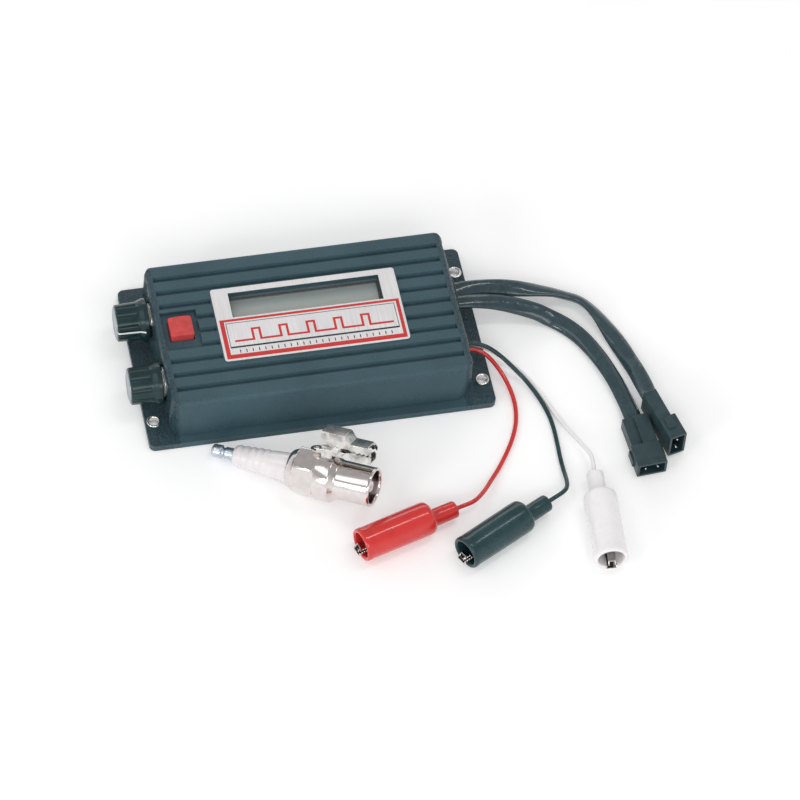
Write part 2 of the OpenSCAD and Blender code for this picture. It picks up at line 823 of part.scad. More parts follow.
// Fluted control knob, standing on its back face, with room for the nut
module knob() {
    color([0.06, 0.06, 0.07]) difference() {
        rotate_extrude()
            difference() {
                polygon([[0, 0], [skirt_d/2 - 0.3, 0], [skirt_d/2, 0.4], [skirt_d/2, skirt_h - 1.2],
                    [skirt_d/2 - 0.5, skirt_h], [knob_d/2, waist_z], [knob_end_d/2, knob_l - 0.6],
                    [knob_end_d/2 - 0.6, knob_l], [0, knob_l]]);
                translate([0, knob_l - cap_t + cap_rise])
                    square([cap_d/2 + run_fit, cap_t]);
                translate([0, -1])
                    square([shaft_d/2 + run_fit, shaft_grip + 1]);
                translate([0, -1])
                    square([nut_room_r, nut_room + 1]);
            }
        for (i = [0:flute_n - 1])
            rotate([0, 0, (i + 0.5)*360/flute_n])
                translate([knob_d/2 - flute_depth + flute_d/2, 0, waist_z + flute_d/4])
                    cylinder(d = flute_d, h = knob_l, $fn = 24);
    }
}

module knob_cap() {
    color("silver") translate([0, 0, knob_l - cap_t + cap_rise])
        rotate_extrude()
            polygon([[0, 0], [cap_d/2, 0], [cap_d/2, cap_t - 0.2], [cap_d/2 - 0.3, cap_t],
                [cap_d/2 - 1.6, cap_t], [cap_d/2 - 1.9, cap_t - 0.15], [0, cap_t - 0.15]]);
}

module control_shaft() {
    depth = panel_t + 0.6*can_l;
    color("silver") translate([0, 0, -depth])
        cylinder(d = shaft_d, h = depth + knob_back + shaft_grip);
}

// Rotary control: can behind the panel, threaded bush through it, three lugs
module control_body() {
    lug_z = -panel_t - can_l*0.6;
    lug_drop = can_d/2 + lug_l;
    color("goldenrod") difference() {
        union() {
            translate([0, 0, -panel_t - can_l])
                cylinder(d = can_d, h = can_l);
            translate([0, 0, -panel_t - eps])
                cylinder(d = bush_d, h = panel_t + bush_l + eps);
            for (y = [-4, 0, 4])
                translate([-lug_drop, y - 0.6, lug_z])
                    cube([lug_drop - can_d/4, 1.2, 0.8]);
        }
        translate([0, 0, -panel_t - 0.65*can_l])
            cylinder(d = shaft_d + 2*run_fit, h = can_l + bush_l + panel_t);
    }
}

module control_nut() {
    color("darkgoldenrod") translate([0, 0, washer_t])
        difference() {
            intersection() {
                cylinder(d = nut_af/cos(30), h = nut_t, $fn = 6);
                rotate_extrude()
                    polygon([[0, 0], [nut_af/2 + 0.8, 0], [nut_af/2 + 0.8, nut_t - 0.6],
                        [nut_af/2, nut_t], [0, nut_t]]);
            }
            translate([0, 0, -1])
                cylinder(d = bush_d + 2*run_fit, h = nut_t + 2);
        }
}

module control_washer() {
    color("silver") difference() {
        cylinder(d = washer_d, h = washer_t);
        translate([0, 0, -1])
            cylinder(d = bush_d + 2*set_fit, h = washer_t + 2);
    }
}

module at_knob(y) {
    at_knob_end(y)
        translate([0, 0, knob_back])
            children();
}

module rear_knob() at_knob(knob_y) knob();
module front_knob() at_knob(-knob_y) knob();
module rear_knob_cap() at_knob(knob_y) knob_cap();
module front_knob_cap() at_knob(-knob_y) knob_cap();
module rear_shaft() at_knob_end(knob_y) control_shaft();
module front_shaft() at_knob_end(-knob_y) control_shaft();
module rear_control() at_knob_end(knob_y) control_body();
module front_control() at_knob_end(-knob_y) control_body();
module rear_nut() at_knob_end(knob_y) control_nut();
module front_nut() at_knob_end(-knob_y) rotate([0, 0, 15]) control_nut();
module rear_washer() at_knob_end(knob_y) control_washer();
module front_washer() at_knob_end(-knob_y) control_washer();

module main_board() {
    color("darkgreen") translate([0, 0, board_z])
        difference() {
            linear_extrude(board_t)
                rounded_rect(board_l, board_w, 2);
            at_corners(post_x, post_y)
                translate([0, 0, -1])
                    cylinder(d = board_screw_d + 2*set_fit, h = board_t + 2);
        }
}

// Display header, cable terminals, coil, capacitors and chips on the board
module board_components() {
    header_h = lcd_frame_z - board_top;
    header_y = lcd_y + lcd_w/2 + lcd_border - lcd_wall;
    block_x = board_l/2 - block_l - 1;
    row_y = -board_w/4;
    color("dimgray") translate([0, 0, board_top]) {
        translate([label_x - header_l/2, header_y, 0])
            cube([header_l, lcd_wall, header_h]);
        for (y = [harness_y, lead_y])
            translate([block_x, y - block_w/2, 0])
                cube([block_l, block_w, block_h]);
        translate([coil_d, row_y, 0])
            cylinder(d = coil_d, h = coil_h);
        for (i = [0, 1])
            translate([-i*(capacitor_d + part_gap), row_y, 0])
                cylinder(d = capacitor_d, h = capacitor_h);
        for (i = [0, 1])
            translate([-2*(capacitor_d + part_gap) - i*(chip_w + part_gap) - chip_w/2, row_y - chip_l/2, 0])
                cube([chip_w, chip_l, chip_h]);
    }
}

module board_screws() {
    color("silver") at_corners(post_x, post_y) {
        translate([0, 0, board_top])
            cylinder(d = 2*board_screw_d - 0.5, h = 1.4);
        translate([0, 0, plate_t])
            cylinder(d = board_screw_d, h = board_top - plate_t + eps);
    }
}

// Rubber bush with a flange on each side of the panel
module harness_grommet() {
    color([0.1, 0.1, 0.1]) at_cable_end(harness_y, harness_z) {
        linear_extrude(grommet_t)
            harness_outline(grommet_rubber + grommet_lip);
        translate([0, 0, -panel_t - eps])
            linear_extrude(panel_t + 2*eps)
                harness_outline(grommet_rubber);
        translate([0, 0, -panel_t - grommet_t])
            linear_extrude(grommet_t)
                harness_outline(grommet_rubber + grommet_lip);
    }
}

module lead_grommet() {
    color([0.1, 0.1, 0.1]) at_cable_end(lead_y, lead_z) {
        linear_extrude(grommet_t)
            lead_outline(grommet_rubber + grommet_lip);
        translate([0, 0, -panel_t - eps])
            linear_extrude(panel_t + 2*eps)
                lead_outline(grommet_rubber);
        translate([0, 0, -panel_t - grommet_t])
            linear_extrude(grommet_t)
                lead_outline(grommet_rubber + grommet_lip);
    }
}

module harness_sleeve(side, run, place, z) {
    start = [cable_x, harness_y + side*harness_gap/2, harness_z];
    color([0.12, 0.13, 0.14])
        tube(concat([start], run, [plug_tail(place, z)]), sleeve_d, 10, outward, heading(place[1]));
}

module front_sleeve() harness_sleeve(-1, front_sleeve_run, front_plug_place, plug_mid);
module rear_sleeve() harness_sleeve(1, rear_sleeve_run, rear_plug_place, rear_plug_mid);

module at_harness_plug(place, z, roll) {
    translate([place[0][0], place[0][1], z])
        rotate([roll, 0, place[1]])
            children();
}

// Two-way plug: narrow cable end, wide open mouth, side ears and a raised rail
module harness_plug() {
    narrow_w = plug_body_w - 2*plug_step;
    narrow_l = plug_body_l - plug_mouth_l;
    ear_span = plug_body_w + 2*ear_w;
    color([0.1, 0.1, 0.11]) difference() {
        union() {
            translate([0, -narrow_w/2, -plug_body_h/2])
                cube([narrow_l + eps, narrow_w, plug_body_h - 2*plug_step]);
            translate([narrow_l, 0, 0])
                rotate([90, 0, 90])
                    linear_extrude(plug_mouth_l)
                        rounded_rect(plug_body_w, plug_body_h, 0.8);
            translate([narrow_l + plug_step, -ear_span/2, -plug_body_h*0.3])
                cube([ear_l, ear_span, plug_body_h*0.45]);
            translate([0, narrow_w/2 - plug_body_w/2, plug_body_h/2 - 2*plug_step - eps])
                cube([narrow_l + eps, plug_body_w/2, plug_step*1.6]);
        }
        translate([plug_body_l - plug_depth, 0, 0])
            rotate([90, 0, 90])
                linear_extrude(plug_depth + 1)
                    rounded_rect(plug_body_w - 2*plug_wall, plug_body_h - 2*plug_wall, 0.5);
    }
}

module contacts() {
    color("silver") for (s = [-1, 1])
        translate([plug_body_l - plug_depth, s*contact_gap/2, 0])
            rotate([0, 90, 0])
                rotate_extrude()
                    polygon([[0, 0], [contact_d/2, 0], [contact_d/2, contact_l - 0.8],
                        [contact_d/4, contact_l], [0, contact_l]]);
}

module front_harness_plug() at_harness_plug(front_plug_place, plug_mid, 0) harness_plug();
module rear_harness_plug() at_harness_plug(rear_plug_place, rear_plug_mid, rear_plug_roll) harness_plug();
module front_contacts() at_harness_plug(front_plug_place, plug_mid, 0) contacts();
module rear_contacts() at_harness_plug(rear_plug_place, rear_plug_mid, rear_plug_roll) contacts();

module test_lead(i, run, place) {
    tube(lead_route(i, run, place), lead_d, 8, outward, -heading(place[1]));
}

module red_lead() color("crimson") test_lead(0, red_run, red_place);
module black_lead() color([0.1, 0.1, 0.1]) test_lead(1, black_run, black_place);
module white_lead() color("whitesmoke") test_lead(2, white_run, white_place);

// Boot along +X from its mouth: round body, soft shoulder and an offset neck
module boot() {
    difference() {
        union() {
            rotate([90, 0, 90])
                rotate_extrude() {
                    square([boot_d/2, boot_l - boot_shoulder]);
                    square([boot_d/2 - boot_shoulder, boot_l]);
                    translate([boot_d/2 - boot_shoulder, boot_l - boot_shoulder])
                        circle(boot_shoulder);
                }
            translate([boot_l - boot_shoulder, 0, -clip_drop])
                rotate([0, 90, 0])
                    cylinder(d = neck_d, h = neck_l + boot_shoulder);
        }
        translate([-1, 0, 0])
            rotate([0, 90, 0])
                cylinder(d = boot_bore, h = boot_l - boot_back + 1);
        translate([0, 0, -clip_drop])
            rotate([0, 90, 0])
                cylinder(d = lead_d + 2*free_fit, h = boot_all + 1);
    }
}

module at_boot(place) {
    translate([place[0][0], place[0][1], boot_z])
        rotate([0, 0, place[1]])
            children();
}

// Clips look out of the boot's mouth, with their hinge at the origin
module at_clip(place) {
    at_boot(place)
        translate([hinge_s, 0, -clip_drop])
            rotate([0, 0, 180])
                children();
}

module red_boot() color("firebrick") at_boot(red_place) boot();
module black_boot() color([0.1, 0.11, 0.12]) at_boot(black_place) boot();
module white_boot() color("whitesmoke") at_boot(white_place) boot();

// Zigzag bite line from the tip back towards the hinge
function bite(front, h, lift) =
    let(pitch = h*0.55, n = 4)
    [for (i = [0:n - 1]) each [[front - i*pitch, lift], [front - (i + 0.5)*pitch, lift + pitch*0.4]]];

// Two side cheeks of a folded sheet, a web between them and a hinge bore
module folded_jaw(cheek, web, w, t, ear_r, bore_d) {
    difference() {
        union() {
            for (s = [-1, 1])
                translate([0, s*(w - t)/2 + t/2, 0])
                    rotate([90, 0, 0])
                        linear_extrude(t) {
                            polygon(cheek);
                            circle(ear_r);
                        }
            translate([0, w/2, 0])
                rotate([90, 0, 0])
                    linear_extrude(w)
                        polygon(web);
        }
        rotate([90, 0, 0])
            cylinder(d = bore_d, h = w + 2, center = true);
    }
}

module lower_jaw(front, tail, h, t, w, pin_d) {
    gap = 0.1;
    cheek = concat([[-tail, -h], [front, -h]], bite(front, h, -gap - h*0.22),
        [[h, -gap - h*0.3], [-h, -gap - h*0.3], [-tail, -h*0.5]]);
    web = [[-tail, -h], [front, -h], [front, -h + t], [-tail, -h + t]];
    folded_jaw(cheek, web, w, t, h*0.55, pin_d + 2*run_fit);
}

// The upper jaw fits between the lower jaw's cheeks and ends in a flat thumb plate
module upper_jaw(front, thumb, h, t, w, pin_d) {
    gap = 0.1;
    inner_w = w - 2*t - 2*free_fit;
    cheek = concat(bite(front, h, gap), [[h, gap + h*0.3], [-h*0.7, h*0.2], [-h, h*0.35], [-h, h],
        [front - h*0.5, h], [front, h*0.55]]);
    web = [[-thumb, h - t], [front - h*0.5, h - t], [front - h*0.5, h], [-thumb, h]];
    folded_jaw(cheek, web, inner_w, t, h*0.55, pin_d + 2*run_fit);
}

// Hinge pin with a riveted head outside each cheek
module clip_pin(w, d) {
    head = d*0.3;
    rotate([90, 0, 0])
        cylinder(d = d, h = w + 2*run_fit + head, center = true);
    for (s = [-1, 1])
        translate([0, s*(w/2 + run_fit + head/2), 0])
            rotate([90, 0, 0])
                cylinder(d = d*1.6, h = head, center = true);
}

// The lower jaw carries the crimp that takes the lead
module lead_lower_jaw(place) {
    color("silver") at_clip(place) {
        lower_jaw(clip_front, clip_tail, clip_h, clip_t, clip_w, clip_pin_d);
        translate([-clip_tail, 0, 0])
            rotate([0, 90, 0])
                cylinder(d = crimp_d, h = crimp_l);
        translate([-clip_tail, -crimp_d/4, -clip_h])
            cube([crimp_l, crimp_d/2, clip_h]);
    }
}

module lead_upper_jaw(place) {
    color("gainsboro") at_clip(place)
        upper_jaw(clip_front, clip_thumb, clip_h, clip_t, clip_w, clip_pin_d);
}

module red_lower_jaw() lead_lower_jaw(red_place);
module black_lower_jaw() lead_lower_jaw(black_place);
module white_lower_jaw() lead_lower_jaw(white_place);
module red_upper_jaw() lead_upper_jaw(red_place);
module black_upper_jaw() lead_upper_jaw(black_place);
module white_upper_jaw() lead_upper_jaw(white_place);

module lead_clip_pins() {
    color("silver") for (place = [red_place, black_place, white_place])
        at_clip(place)
            clip_pin(clip_w, clip_pin_d);
}

module lead_clip_springs() {
    length = clip_w - 4*clip_t - 4*free_fit;
    color("dimgray") for (place = [red_place, black_place, white_place])
        at_clip(place)
            rotate([90, 0, 0])
                difference() {
                    cylinder(d = clip_pin_d + 1.4, h = length, center = true);
                    cylinder(d = clip_pin_d + 0.2, h = length + 1, center = true);
                }
}

// The test plug lies along +X of its own frame, terminal end at the origin
module at_test_plug() {
    translate([test_plug_x, test_plug_y, test_plug_z])
        rotate([0, 0, test_plug_turn])
            rotate([0, -test_plug_tilt, 0])
                children();
}

module turned_on_plug() {
    at_test_plug()
        rotate([90, 0, 90])
            rotate_extrude()
                children();
}

module plug_terminal() {
    r = terminal_d/2;
    color("lightsteelblue") turned_on_plug()
        polygon([[0, 0], [r - 0.9, 0], [r - 0.2, 0.6], [r, terminal_lead], [r, terminal_bulge],
            [r - 1, terminal_bulge + 0.7], [r - 1, terminal_bulge + 1.6], [r - 0.3, terminal_bulge + 2.1],
            [r - 0.3, terminal_l], [0, terminal_l]]);
}

// Ribbed white insulator, its body inside the shell and its nose in the mouth
module plug_insulator() {
    rib_l = 3.4;
    bore = electrode_d/2 + run_fit;
    taper = (insulator_shell_d - insulator_d)/2/insulator_l;
    ribs_end = 1 + insulator_ribs*rib_l;
    after_r = insulator_d/2 + taper*ribs_end;
    color("white") turned_on_plug() {
        difference() {
            union() {
                translate([0, insulator_s])
                    polygon([[bore, 0], [insulator_d/2 - 1.4, 0], [insulator_d/2 - 0.5, 0.6],
                        [insulator_shell_d/2 - 0.4, insulator_l],
                        [insulator_shell_d/2 - 0.4, hex_s - insulator_s], [bore, hex_s - insulator_s]]);
                for (i = [0:insulator_ribs - 1])
                    translate([insulator_d/2 - rib_l/2 + taper*(i + 0.5)*rib_l,
                        insulator_s + 0.6 + (i + 0.5)*rib_l])
                        circle(rib_l/2);
                translate([0, insulator_s + ribs_end])
                    polygon([[bore, 0], [after_r - 0.4, 0], [after_r - 0.1, 0.8],
                        [insulator_shell_d/2, insulator_l - ribs_end],
                        [insulator_shell_d/2, hex_s - insulator_s - ribs_end],
                        [bore, hex_s - insulator_s - ribs_end]]);
                translate([bore, hex_s - eps])
                    square([nose_d/2 + 0.8 - bore, rim_s - mouth_depth - hex_s + 2]);
                translate([bore, hex_s])
                    polygon([[0, 0], [nose_d/2 + 0.8 - bore, 0],
                        [nose_d/2 + 0.4 - bore, rim_s - nose_in - 6 - hex_s],
                        [nose_d/2 - bore, rim_s - nose_in - hex_s - 0.5],
                        [nose_d/2 - 0.5 - bore, rim_s - nose_in - hex_s], [0, rim_s - nose_in - hex_s]]);
            }
            square([bore, rim_s]);
        }
    }
}

module plug_electrode() {
    r = electrode_d/2;
    color("silver") turned_on_plug()
        polygon([[0, terminal_l], [r, terminal_l], [r, rim_s - nose_in - 0.4], [0, rim_s - nose_in - 0.4]]);
}

// Plated shell: domed crimp, hex, collar, cone and open barrel
module plug_shell() {
    inside = insulator_shell_d/2 + run_fit;
    nose_way = nose_d/2 + 0.8 + run_fit;
    color("lightgray") at_test_plug() {
        difference() {
            union() {
                translate([hex_s, 0, 0])
                    rotate([90, 0, 90])
                        intersection() {
                            cylinder(r = hex_r, h = hex_l, $fn = 6);
                            rotate_extrude()
                                polygon([[0, 0], [hex_af/2 - 0.2, 0], [hex_r, 1.3], [hex_r, hex_l], [0, hex_l]]);
                        }
                rotate([90, 0, 90])
                    rotate_extrude() {
                        translate([0, dome_s])
                            polygon([[0, 0], [inside + 0.7, 0], [inside + 1.6, 0.3],
                                [hex_af/2 - 1, dome_l*0.55], [hex_af/2 - 0.2, dome_l + 0.4], [0, dome_l + 0.4]]);
                        translate([0, collar_s - 0.2])
                            polygon([[0, 0], [collar_d/2, 0], [collar_d/2, collar_l - 0.3],
                                [collar_d/2 - 0.5, collar_l + 0.2],
                                [barrel_d/2, collar_l + cone_l], [barrel_d/2, rim_s - collar_s - 0.8],
                                [barrel_d/2 - 0.6, rim_s - collar_s + 0.2], [0, rim_s - collar_s + 0.2]]);
                    }
            }
            rotate([90, 0, 90])
                rotate_extrude() {
                    translate([0, dome_s - 1])
                        square([inside, hex_s - dome_s + 1]);
                    translate([0, hex_s - eps])
                        square([nose_way, rim_s - hex_s]);
                    translate([0, rim_s - mouth_depth])
                        polygon([[0, 0], [mouth_d/2 - 2, 0], [mouth_d/2, 2], [mouth_d/2, mouth_depth - 0.7],
                            [mouth_d/2 + 0.7, mouth_depth], [mouth_d/2 + 0.7, mouth_depth + 1],
                            [0, mouth_depth + 1]]);
                }
        }
    }
}

// The clip stands on the collar, rolled to the plug's far side
module at_plug_clip() {
    at_test_plug()
        rotate([-pclip_roll, 0, 0])
            translate([pclip_at, 0, pclip_z])
                children();
}

// Fixed half: toothed jaw, foot on the collar and a round lug over the hex
module plug_clip_base() {
    foot_z = collar_d/2*cos(asin(pclip_base_w/collar_d)) - pclip_z;
    color("gainsboro") difference() {
        at_plug_clip() {
            lower_jaw(pclip_front, pclip_tail, pclip_h, pclip_t, pclip_base_w, pclip_pin_d);
            translate([collar_s + 1 - pclip_at, -pclip_base_w/2, foot_z])
                cube([collar_l - 2, pclip_base_w, -pclip_h - foot_z + pclip_t]);
            translate([-pclip_tail, 0, -pclip_h])
                difference() {
                    cylinder(d = pclip_base_w, h = pclip_t);
                    translate([-pclip_base_w/8, 0, -1])
                        cylinder(d = pclip_base_w*0.4, h = pclip_t + 2);
                }
        }
        at_test_plug()
            rotate([0, 90, 0])
                cylinder(d = collar_d + eps, h = rim_s, $fn = 96);
    }
}

// Moving half: it straddles the fixed one and rises to a thumb box over the hinge
module thumb_jaw(front, thumb, rise, h, t, w, pin_d) {
    gap = 0.1;
    top = h + rise;
    cheek = concat(bite(front, h, gap), [[h, gap + h*0.3], [-h*0.7, h*0.2], [-thumb, top - h*0.8],
        [-thumb, top], [h*0.9, top], [h*1.6, h], [front - h*0.5, h], [front, h*0.55]]);
    web = [[-thumb, top - t], [h*0.9 - t/2, top - t], [h*1.6 - t/2, h - t], [front - h*0.5, h - t],
        [front - h*0.5, h], [h*1.6, h], [h*0.9, top], [-thumb, top]];
    folded_jaw(cheek, web, w, t, h*0.55, pin_d + 2*run_fit);
}

module plug_clip_lever() {
    color("lightgray") at_plug_clip()
        thumb_jaw(pclip_front, pclip_thumb, pclip_rise, pclip_h, pclip_t, pclip_w, pclip_pin_d);
}

module plug_clip_pin() {
    color("silver") at_plug_clip()
        clip_pin(pclip_w, pclip_pin_d);
}

// Torsion spring round the hinge pin, wound as one open coil
spring_pitch = (pclip_w - 4*pclip_t - 4*free_fit - 2*spring_wire)/spring_turns;
function coil_point(a) = [spring_r*cos(a), spring_pitch*(a/360 - spring_turns/2), spring_r*sin(a)];
function coil_tangent(a) = unit([-spring_r*sin(a), spring_pitch/(2*PI), spring_r*cos(a)]);
function coil_ring(a, sides) =
    let(out = [cos(a), 0, sin(a)], t = coil_tangent(a), side = unit(cross(t, out)))
    [for (k = [0:sides - 1]) coil_point(a) + spring_wire/2*(cos(360*k/sides)*out + sin(360*k/sides)*side)];

module plug_clip_spring() {
    sides = 6;
    steps = 8*spring_turns;
    rings = [for (i = [0:steps]) each coil_ring(360*i/8, sides)];
    turn_gap = min([for (i = [0:steps - 8]) for (j = [i + 6:min(i + 10, steps)])
        norm(coil_point(45*i) - coil_point(45*j)) - spring_wire]);
    echo(spring_least_gap = turn_gap);
    color("silver") at_plug_clip()
        polyhedron(rings, concat(tube_wall(steps + 1, sides), tube_caps(steps + 1, sides)));
}

housing_shell();
base_plate();
base_screws();
flange_eyelets();
label_plate();
lcd_window();
lcd_frame();
lcd_glass();
test_button();
button_spring();
button_switch();
rear_knob();
rear_knob_cap();
rear_shaft();
rear_control();
rear_nut();
rear_washer();
front_knob();
front_knob_cap();
front_shaft();
front_control();
front_nut();
front_washer();
main_board();
board_components();
board_screws();
harness_grommet();
lead_grommet();
front_sleeve();
rear_sleeve();
front_harness_plug();
rear_harness_plug();
front_contacts();
rear_contacts();
red_lead();
black_lead();
white_lead();
red_boot();
black_boot();
white_boot();
red_lower_jaw();
black_lower_jaw();
white_lower_jaw();
red_upper_jaw();
black_upper_jaw();
white_upper_jaw();
lead_clip_pins();
lead_clip_springs();
plug_terminal();
plug_insulator();
plug_electrode();
plug_shell();
plug_clip_base();
plug_clip_lever();
plug_clip_pin();
plug_clip_spring();
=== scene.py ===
"""Looks of an ignition spark tester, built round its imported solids.

A ribbed cast box with a display, a push button and two knobs carries two
sleeved harness cables and three clip leads. A loose test plug lies beside it.
"""

import logging
import math
from collections.abc import Sequence
from dataclasses import dataclass, field
from enum import Enum
from itertools import accumulate

import bmesh
import bpy
from mathutils import Matrix, Vector


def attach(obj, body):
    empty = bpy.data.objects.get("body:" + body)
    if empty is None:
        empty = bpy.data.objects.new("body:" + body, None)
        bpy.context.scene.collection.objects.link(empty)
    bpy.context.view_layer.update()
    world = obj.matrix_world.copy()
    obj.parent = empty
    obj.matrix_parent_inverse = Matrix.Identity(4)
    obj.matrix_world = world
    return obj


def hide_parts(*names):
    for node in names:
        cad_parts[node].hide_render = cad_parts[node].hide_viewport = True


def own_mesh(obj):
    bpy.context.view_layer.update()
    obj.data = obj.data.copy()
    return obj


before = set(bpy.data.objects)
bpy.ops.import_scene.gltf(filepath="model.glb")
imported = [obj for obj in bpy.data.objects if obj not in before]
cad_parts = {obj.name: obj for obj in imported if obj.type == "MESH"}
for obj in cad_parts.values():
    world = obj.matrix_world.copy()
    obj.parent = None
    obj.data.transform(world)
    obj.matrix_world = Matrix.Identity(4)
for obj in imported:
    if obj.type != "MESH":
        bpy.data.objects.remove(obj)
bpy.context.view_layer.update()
log = logging.getLogger("spark_tester")

MM = 0.001  # metres
WELD = 1e-7  # metres within which points of a new mesh are one
SOLID_WELD = 2e-6  # the same for a copied solid
ON_AXIS = 1e-6  # millimetres from an axis that count as none
SHARP_ANGLE = 35.0  # degrees from which an edge is rounded
FLAT_ANGLE = 0.6  # degrees up to which two faces are one
ROUND_SHARE = 0.45  # most of a side that one rounding takes
NOISE_LOW, NOISE_HIGH = 0.3, 0.7  # range that most noise falls in
Z_TO_Y = Matrix.Rotation(math.radians(-90), 4, "X")  # lays a coil's axis along Y

Pair = tuple[float, float]
Box4 = tuple[float, float, float, float]
Colour = tuple[float, float, float]
Point = tuple[float, float, float]
Socket = bpy.types.NodeSocket


class Body(Enum):
    """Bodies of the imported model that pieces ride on."""

    TESTER = "tester"
    REAR_CONTROL = "rear_control_set"
    FRONT_CONTROL = "front_control_set"
    BUTTON = "button"
    TEST_PLUG = "test_plug"
    PLUG_CLIP = "plug_clip"
    RED_JAW = "red_jaw"
    BLACK_JAW = "black_jaw"
    WHITE_JAW = "white_jaw"
    RED_BOOT = "red_sleeve_boot"
    BLACK_BOOT = "black_sleeve_boot"
    WHITE_BOOT = "white_sleeve_boot"


class Slot(Enum):
    """Material slots of the record."""

    CAST_PAINT = "cast_paint"
    PLATE_PAINT = "plate_paint"
    ZINC = "zinc"
    NICKEL = "nickel"
    FACE = "face"
    LENS = "lens"
    DISPLAY = "display"
    BLACK_FRAME = "black_frame"
    RED_BUTTON = "red_button"
    BLACK_KNOB = "black_knob"
    CAP = "cap"
    BUSH = "bush"
    BOARD = "board"
    PARTS = "parts"
    GROMMET = "grommet"
    SLEEVE = "sleeve"
    CONNECTOR = "connector"
    RED_VINYL = "red_vinyl"
    BLACK_VINYL = "black_vinyl"
    WHITE_VINYL = "white_vinyl"
    CERAMIC = "ceramic"


class Wiring:
    """A material's node tree while a finish wires it."""

    def __init__(self, name: str) -> None:
        """Starts a material.

        Args:
            name: The material's name.
        """
        self.material = bpy.data.materials.new(name)
        self.material.use_nodes = True
        self.tree = self.material.node_tree
        self.shader = next(n for n in self.tree.nodes if n.type == "BSDF_PRINCIPLED")

    def node(self, kind: str, **settings: object) -> bpy.types.Node:
        """Adds a node.

        Args:
            kind: Blender's name of the node type.
            **settings: The node's own properties.

        Returns:
            The new node.
        """
        made = self.tree.nodes.new(kind)
        for key, value in settings.items():
            setattr(made, key, value)
        return made

    def link(self, source: Socket, target: Socket) -> None:
        """Joins two sockets."""
        self.tree.links.new(source, target)

    def fix(self, **sockets: object) -> None:
        """Sets constants on the shader's own sockets; an underscore stands for a space."""
        for key, value in sockets.items():
            self.shader.inputs[key.replace("_", " ")].default_value = value

    def feed(self, socket: str, source: Socket) -> None:
        """Joins a value to one of the shader's sockets."""
        self.link(source, self.shader.inputs[socket])

    def local(self, centre: Point = (0, 0, 0), stretch: Point = (1, 1, 1)) -> Socket:
        """Object coordinates in millimetres.

        Args:
            centre: Point that becomes the origin, in millimetres.
            stretch: How much longer the pattern is along each axis.

        Returns:
            The coordinates' socket.
        """
        mapping = self.node("ShaderNodeMapping", vector_type="TEXTURE")
        mapping.inputs["Location"].default_value = [c * MM for c in centre]
        mapping.inputs["Scale"].default_value = [s * MM for s in stretch]
        self.link(self.node("ShaderNodeTexCoord").outputs["Object"], mapping.inputs["Vector"])
        return mapping.outputs["Vector"]

    def axis(self, vector: Socket, name: str) -> Socket:
        """Takes X, Y or Z of a vector.

        Args:
            vector: The vector.
            name: Which of the three.

        Returns:
            The value's socket.
        """
        split = self.node("ShaderNodeSeparateXYZ")
        self.link(vector, split.inputs[0])
        return split.outputs[name]

    def noise(self, vector: Socket, size: float, detail: float = 2.0,
              distortion: float = 0.0) -> Socket:
        """Cloudy noise.

        Args:
            vector: Coordinates in millimetres.
            size: Width of one cloud, in millimetres.
            detail: Number of finer layers.
            distortion: How much the clouds curl.

        Returns:
            A value from 0 to 1.
        """
        made = self.node("ShaderNodeTexNoise")
        made.inputs["Scale"].default_value = 1 / size
        made.inputs["Detail"].default_value = detail
        made.inputs["Distortion"].default_value = distortion
        self.link(vector, made.inputs["Vector"])
        return made.outputs["Fac"]

    def rings(self, value: Socket, size: float, detail: float = 3.0) -> Socket:
        """Noise along one value, for turning marks.

        Args:
            value: Place across the marks, in millimetres.
            size: Width of one mark, in millimetres.
            detail: Number of finer layers.

        Returns:
            A value from 0 to 1.
        """
        made = self.node("ShaderNodeTexNoise", noise_dimensions="1D")
        made.inputs["Scale"].default_value = 1 / size
        made.inputs["Detail"].default_value = detail
        self.link(value, made.inputs["W"])
        return made.outputs["Fac"]

    def math(self, operation: str, first: Socket, second: Socket | float = 0.0) -> Socket:
        """One arithmetic step.

        Args:
            operation: Blender's name of the step.
            first: Left value.
            second: Right value, a socket or a number.

        Returns:
            The result's socket.
        """
        made = self.node("ShaderNodeMath", operation=operation)
        self.link(first, made.inputs[0])
        if isinstance(second, (int, float)):
            made.inputs[1].default_value = second
        else:
            self.link(second, made.inputs[1])
        return made.outputs[0]

    def remap(self, value: Socket, low: float, high: float, to_low: float = 0.0,
              to_high: float = 1.0) -> Socket:
        """Maps a range on another one, with soft ends.

        Args:
            value: The value.
            low: Where the range starts.
            high: Where it ends.
            to_low: What its start becomes.
            to_high: What its end becomes.

        Returns:
            The new value's socket.
        """
        made = self.node("ShaderNodeMapRange", interpolation_type="SMOOTHSTEP")
        self.link(value, made.inputs["Value"])
        limits = {"From Min": low, "From Max": high, "To Min": to_low, "To Max": to_high}
        for key, number in limits.items():
            made.inputs[key].default_value = number
        return made.outputs["Result"]

    def blend(self, first: Socket, second: Socket, share: float) -> Socket:
        """Adds two values, the second with its share of the whole."""
        return self.math("ADD", self.math("MULTIPLY", first, 1 - share),
                         self.math("MULTIPLY", second, share))

    def colours(self, value: Socket, low: Colour, high: Colour, start: float = NOISE_LOW,
                end: float = NOISE_HIGH) -> None:
        """Feeds the base colour along a value.

        Args:
            value: Place between the colours.
            low: Linear colour up to the start.
            high: Linear colour from the end on.
            start: Value where the change starts.
            end: Value where it ends.
        """
        made = self.node("ShaderNodeValToRGB")
        steps = zip(made.color_ramp.elements, (start, end), (low, high))
        for element, at, colour in steps:
            element.position = at
            element.color = (*colour, 1.0)
        self.link(value, made.inputs["Fac"])
        self.feed("Base Color", made.outputs["Color"])

    def dullness(self, value: Socket, low: float, high: float, start: float = NOISE_LOW,
                 end: float = NOISE_HIGH) -> None:
        """Feeds the roughness along a value, from low at the start to high at the end."""
        self.feed("Roughness", self.remap(value, start, end, low, high))

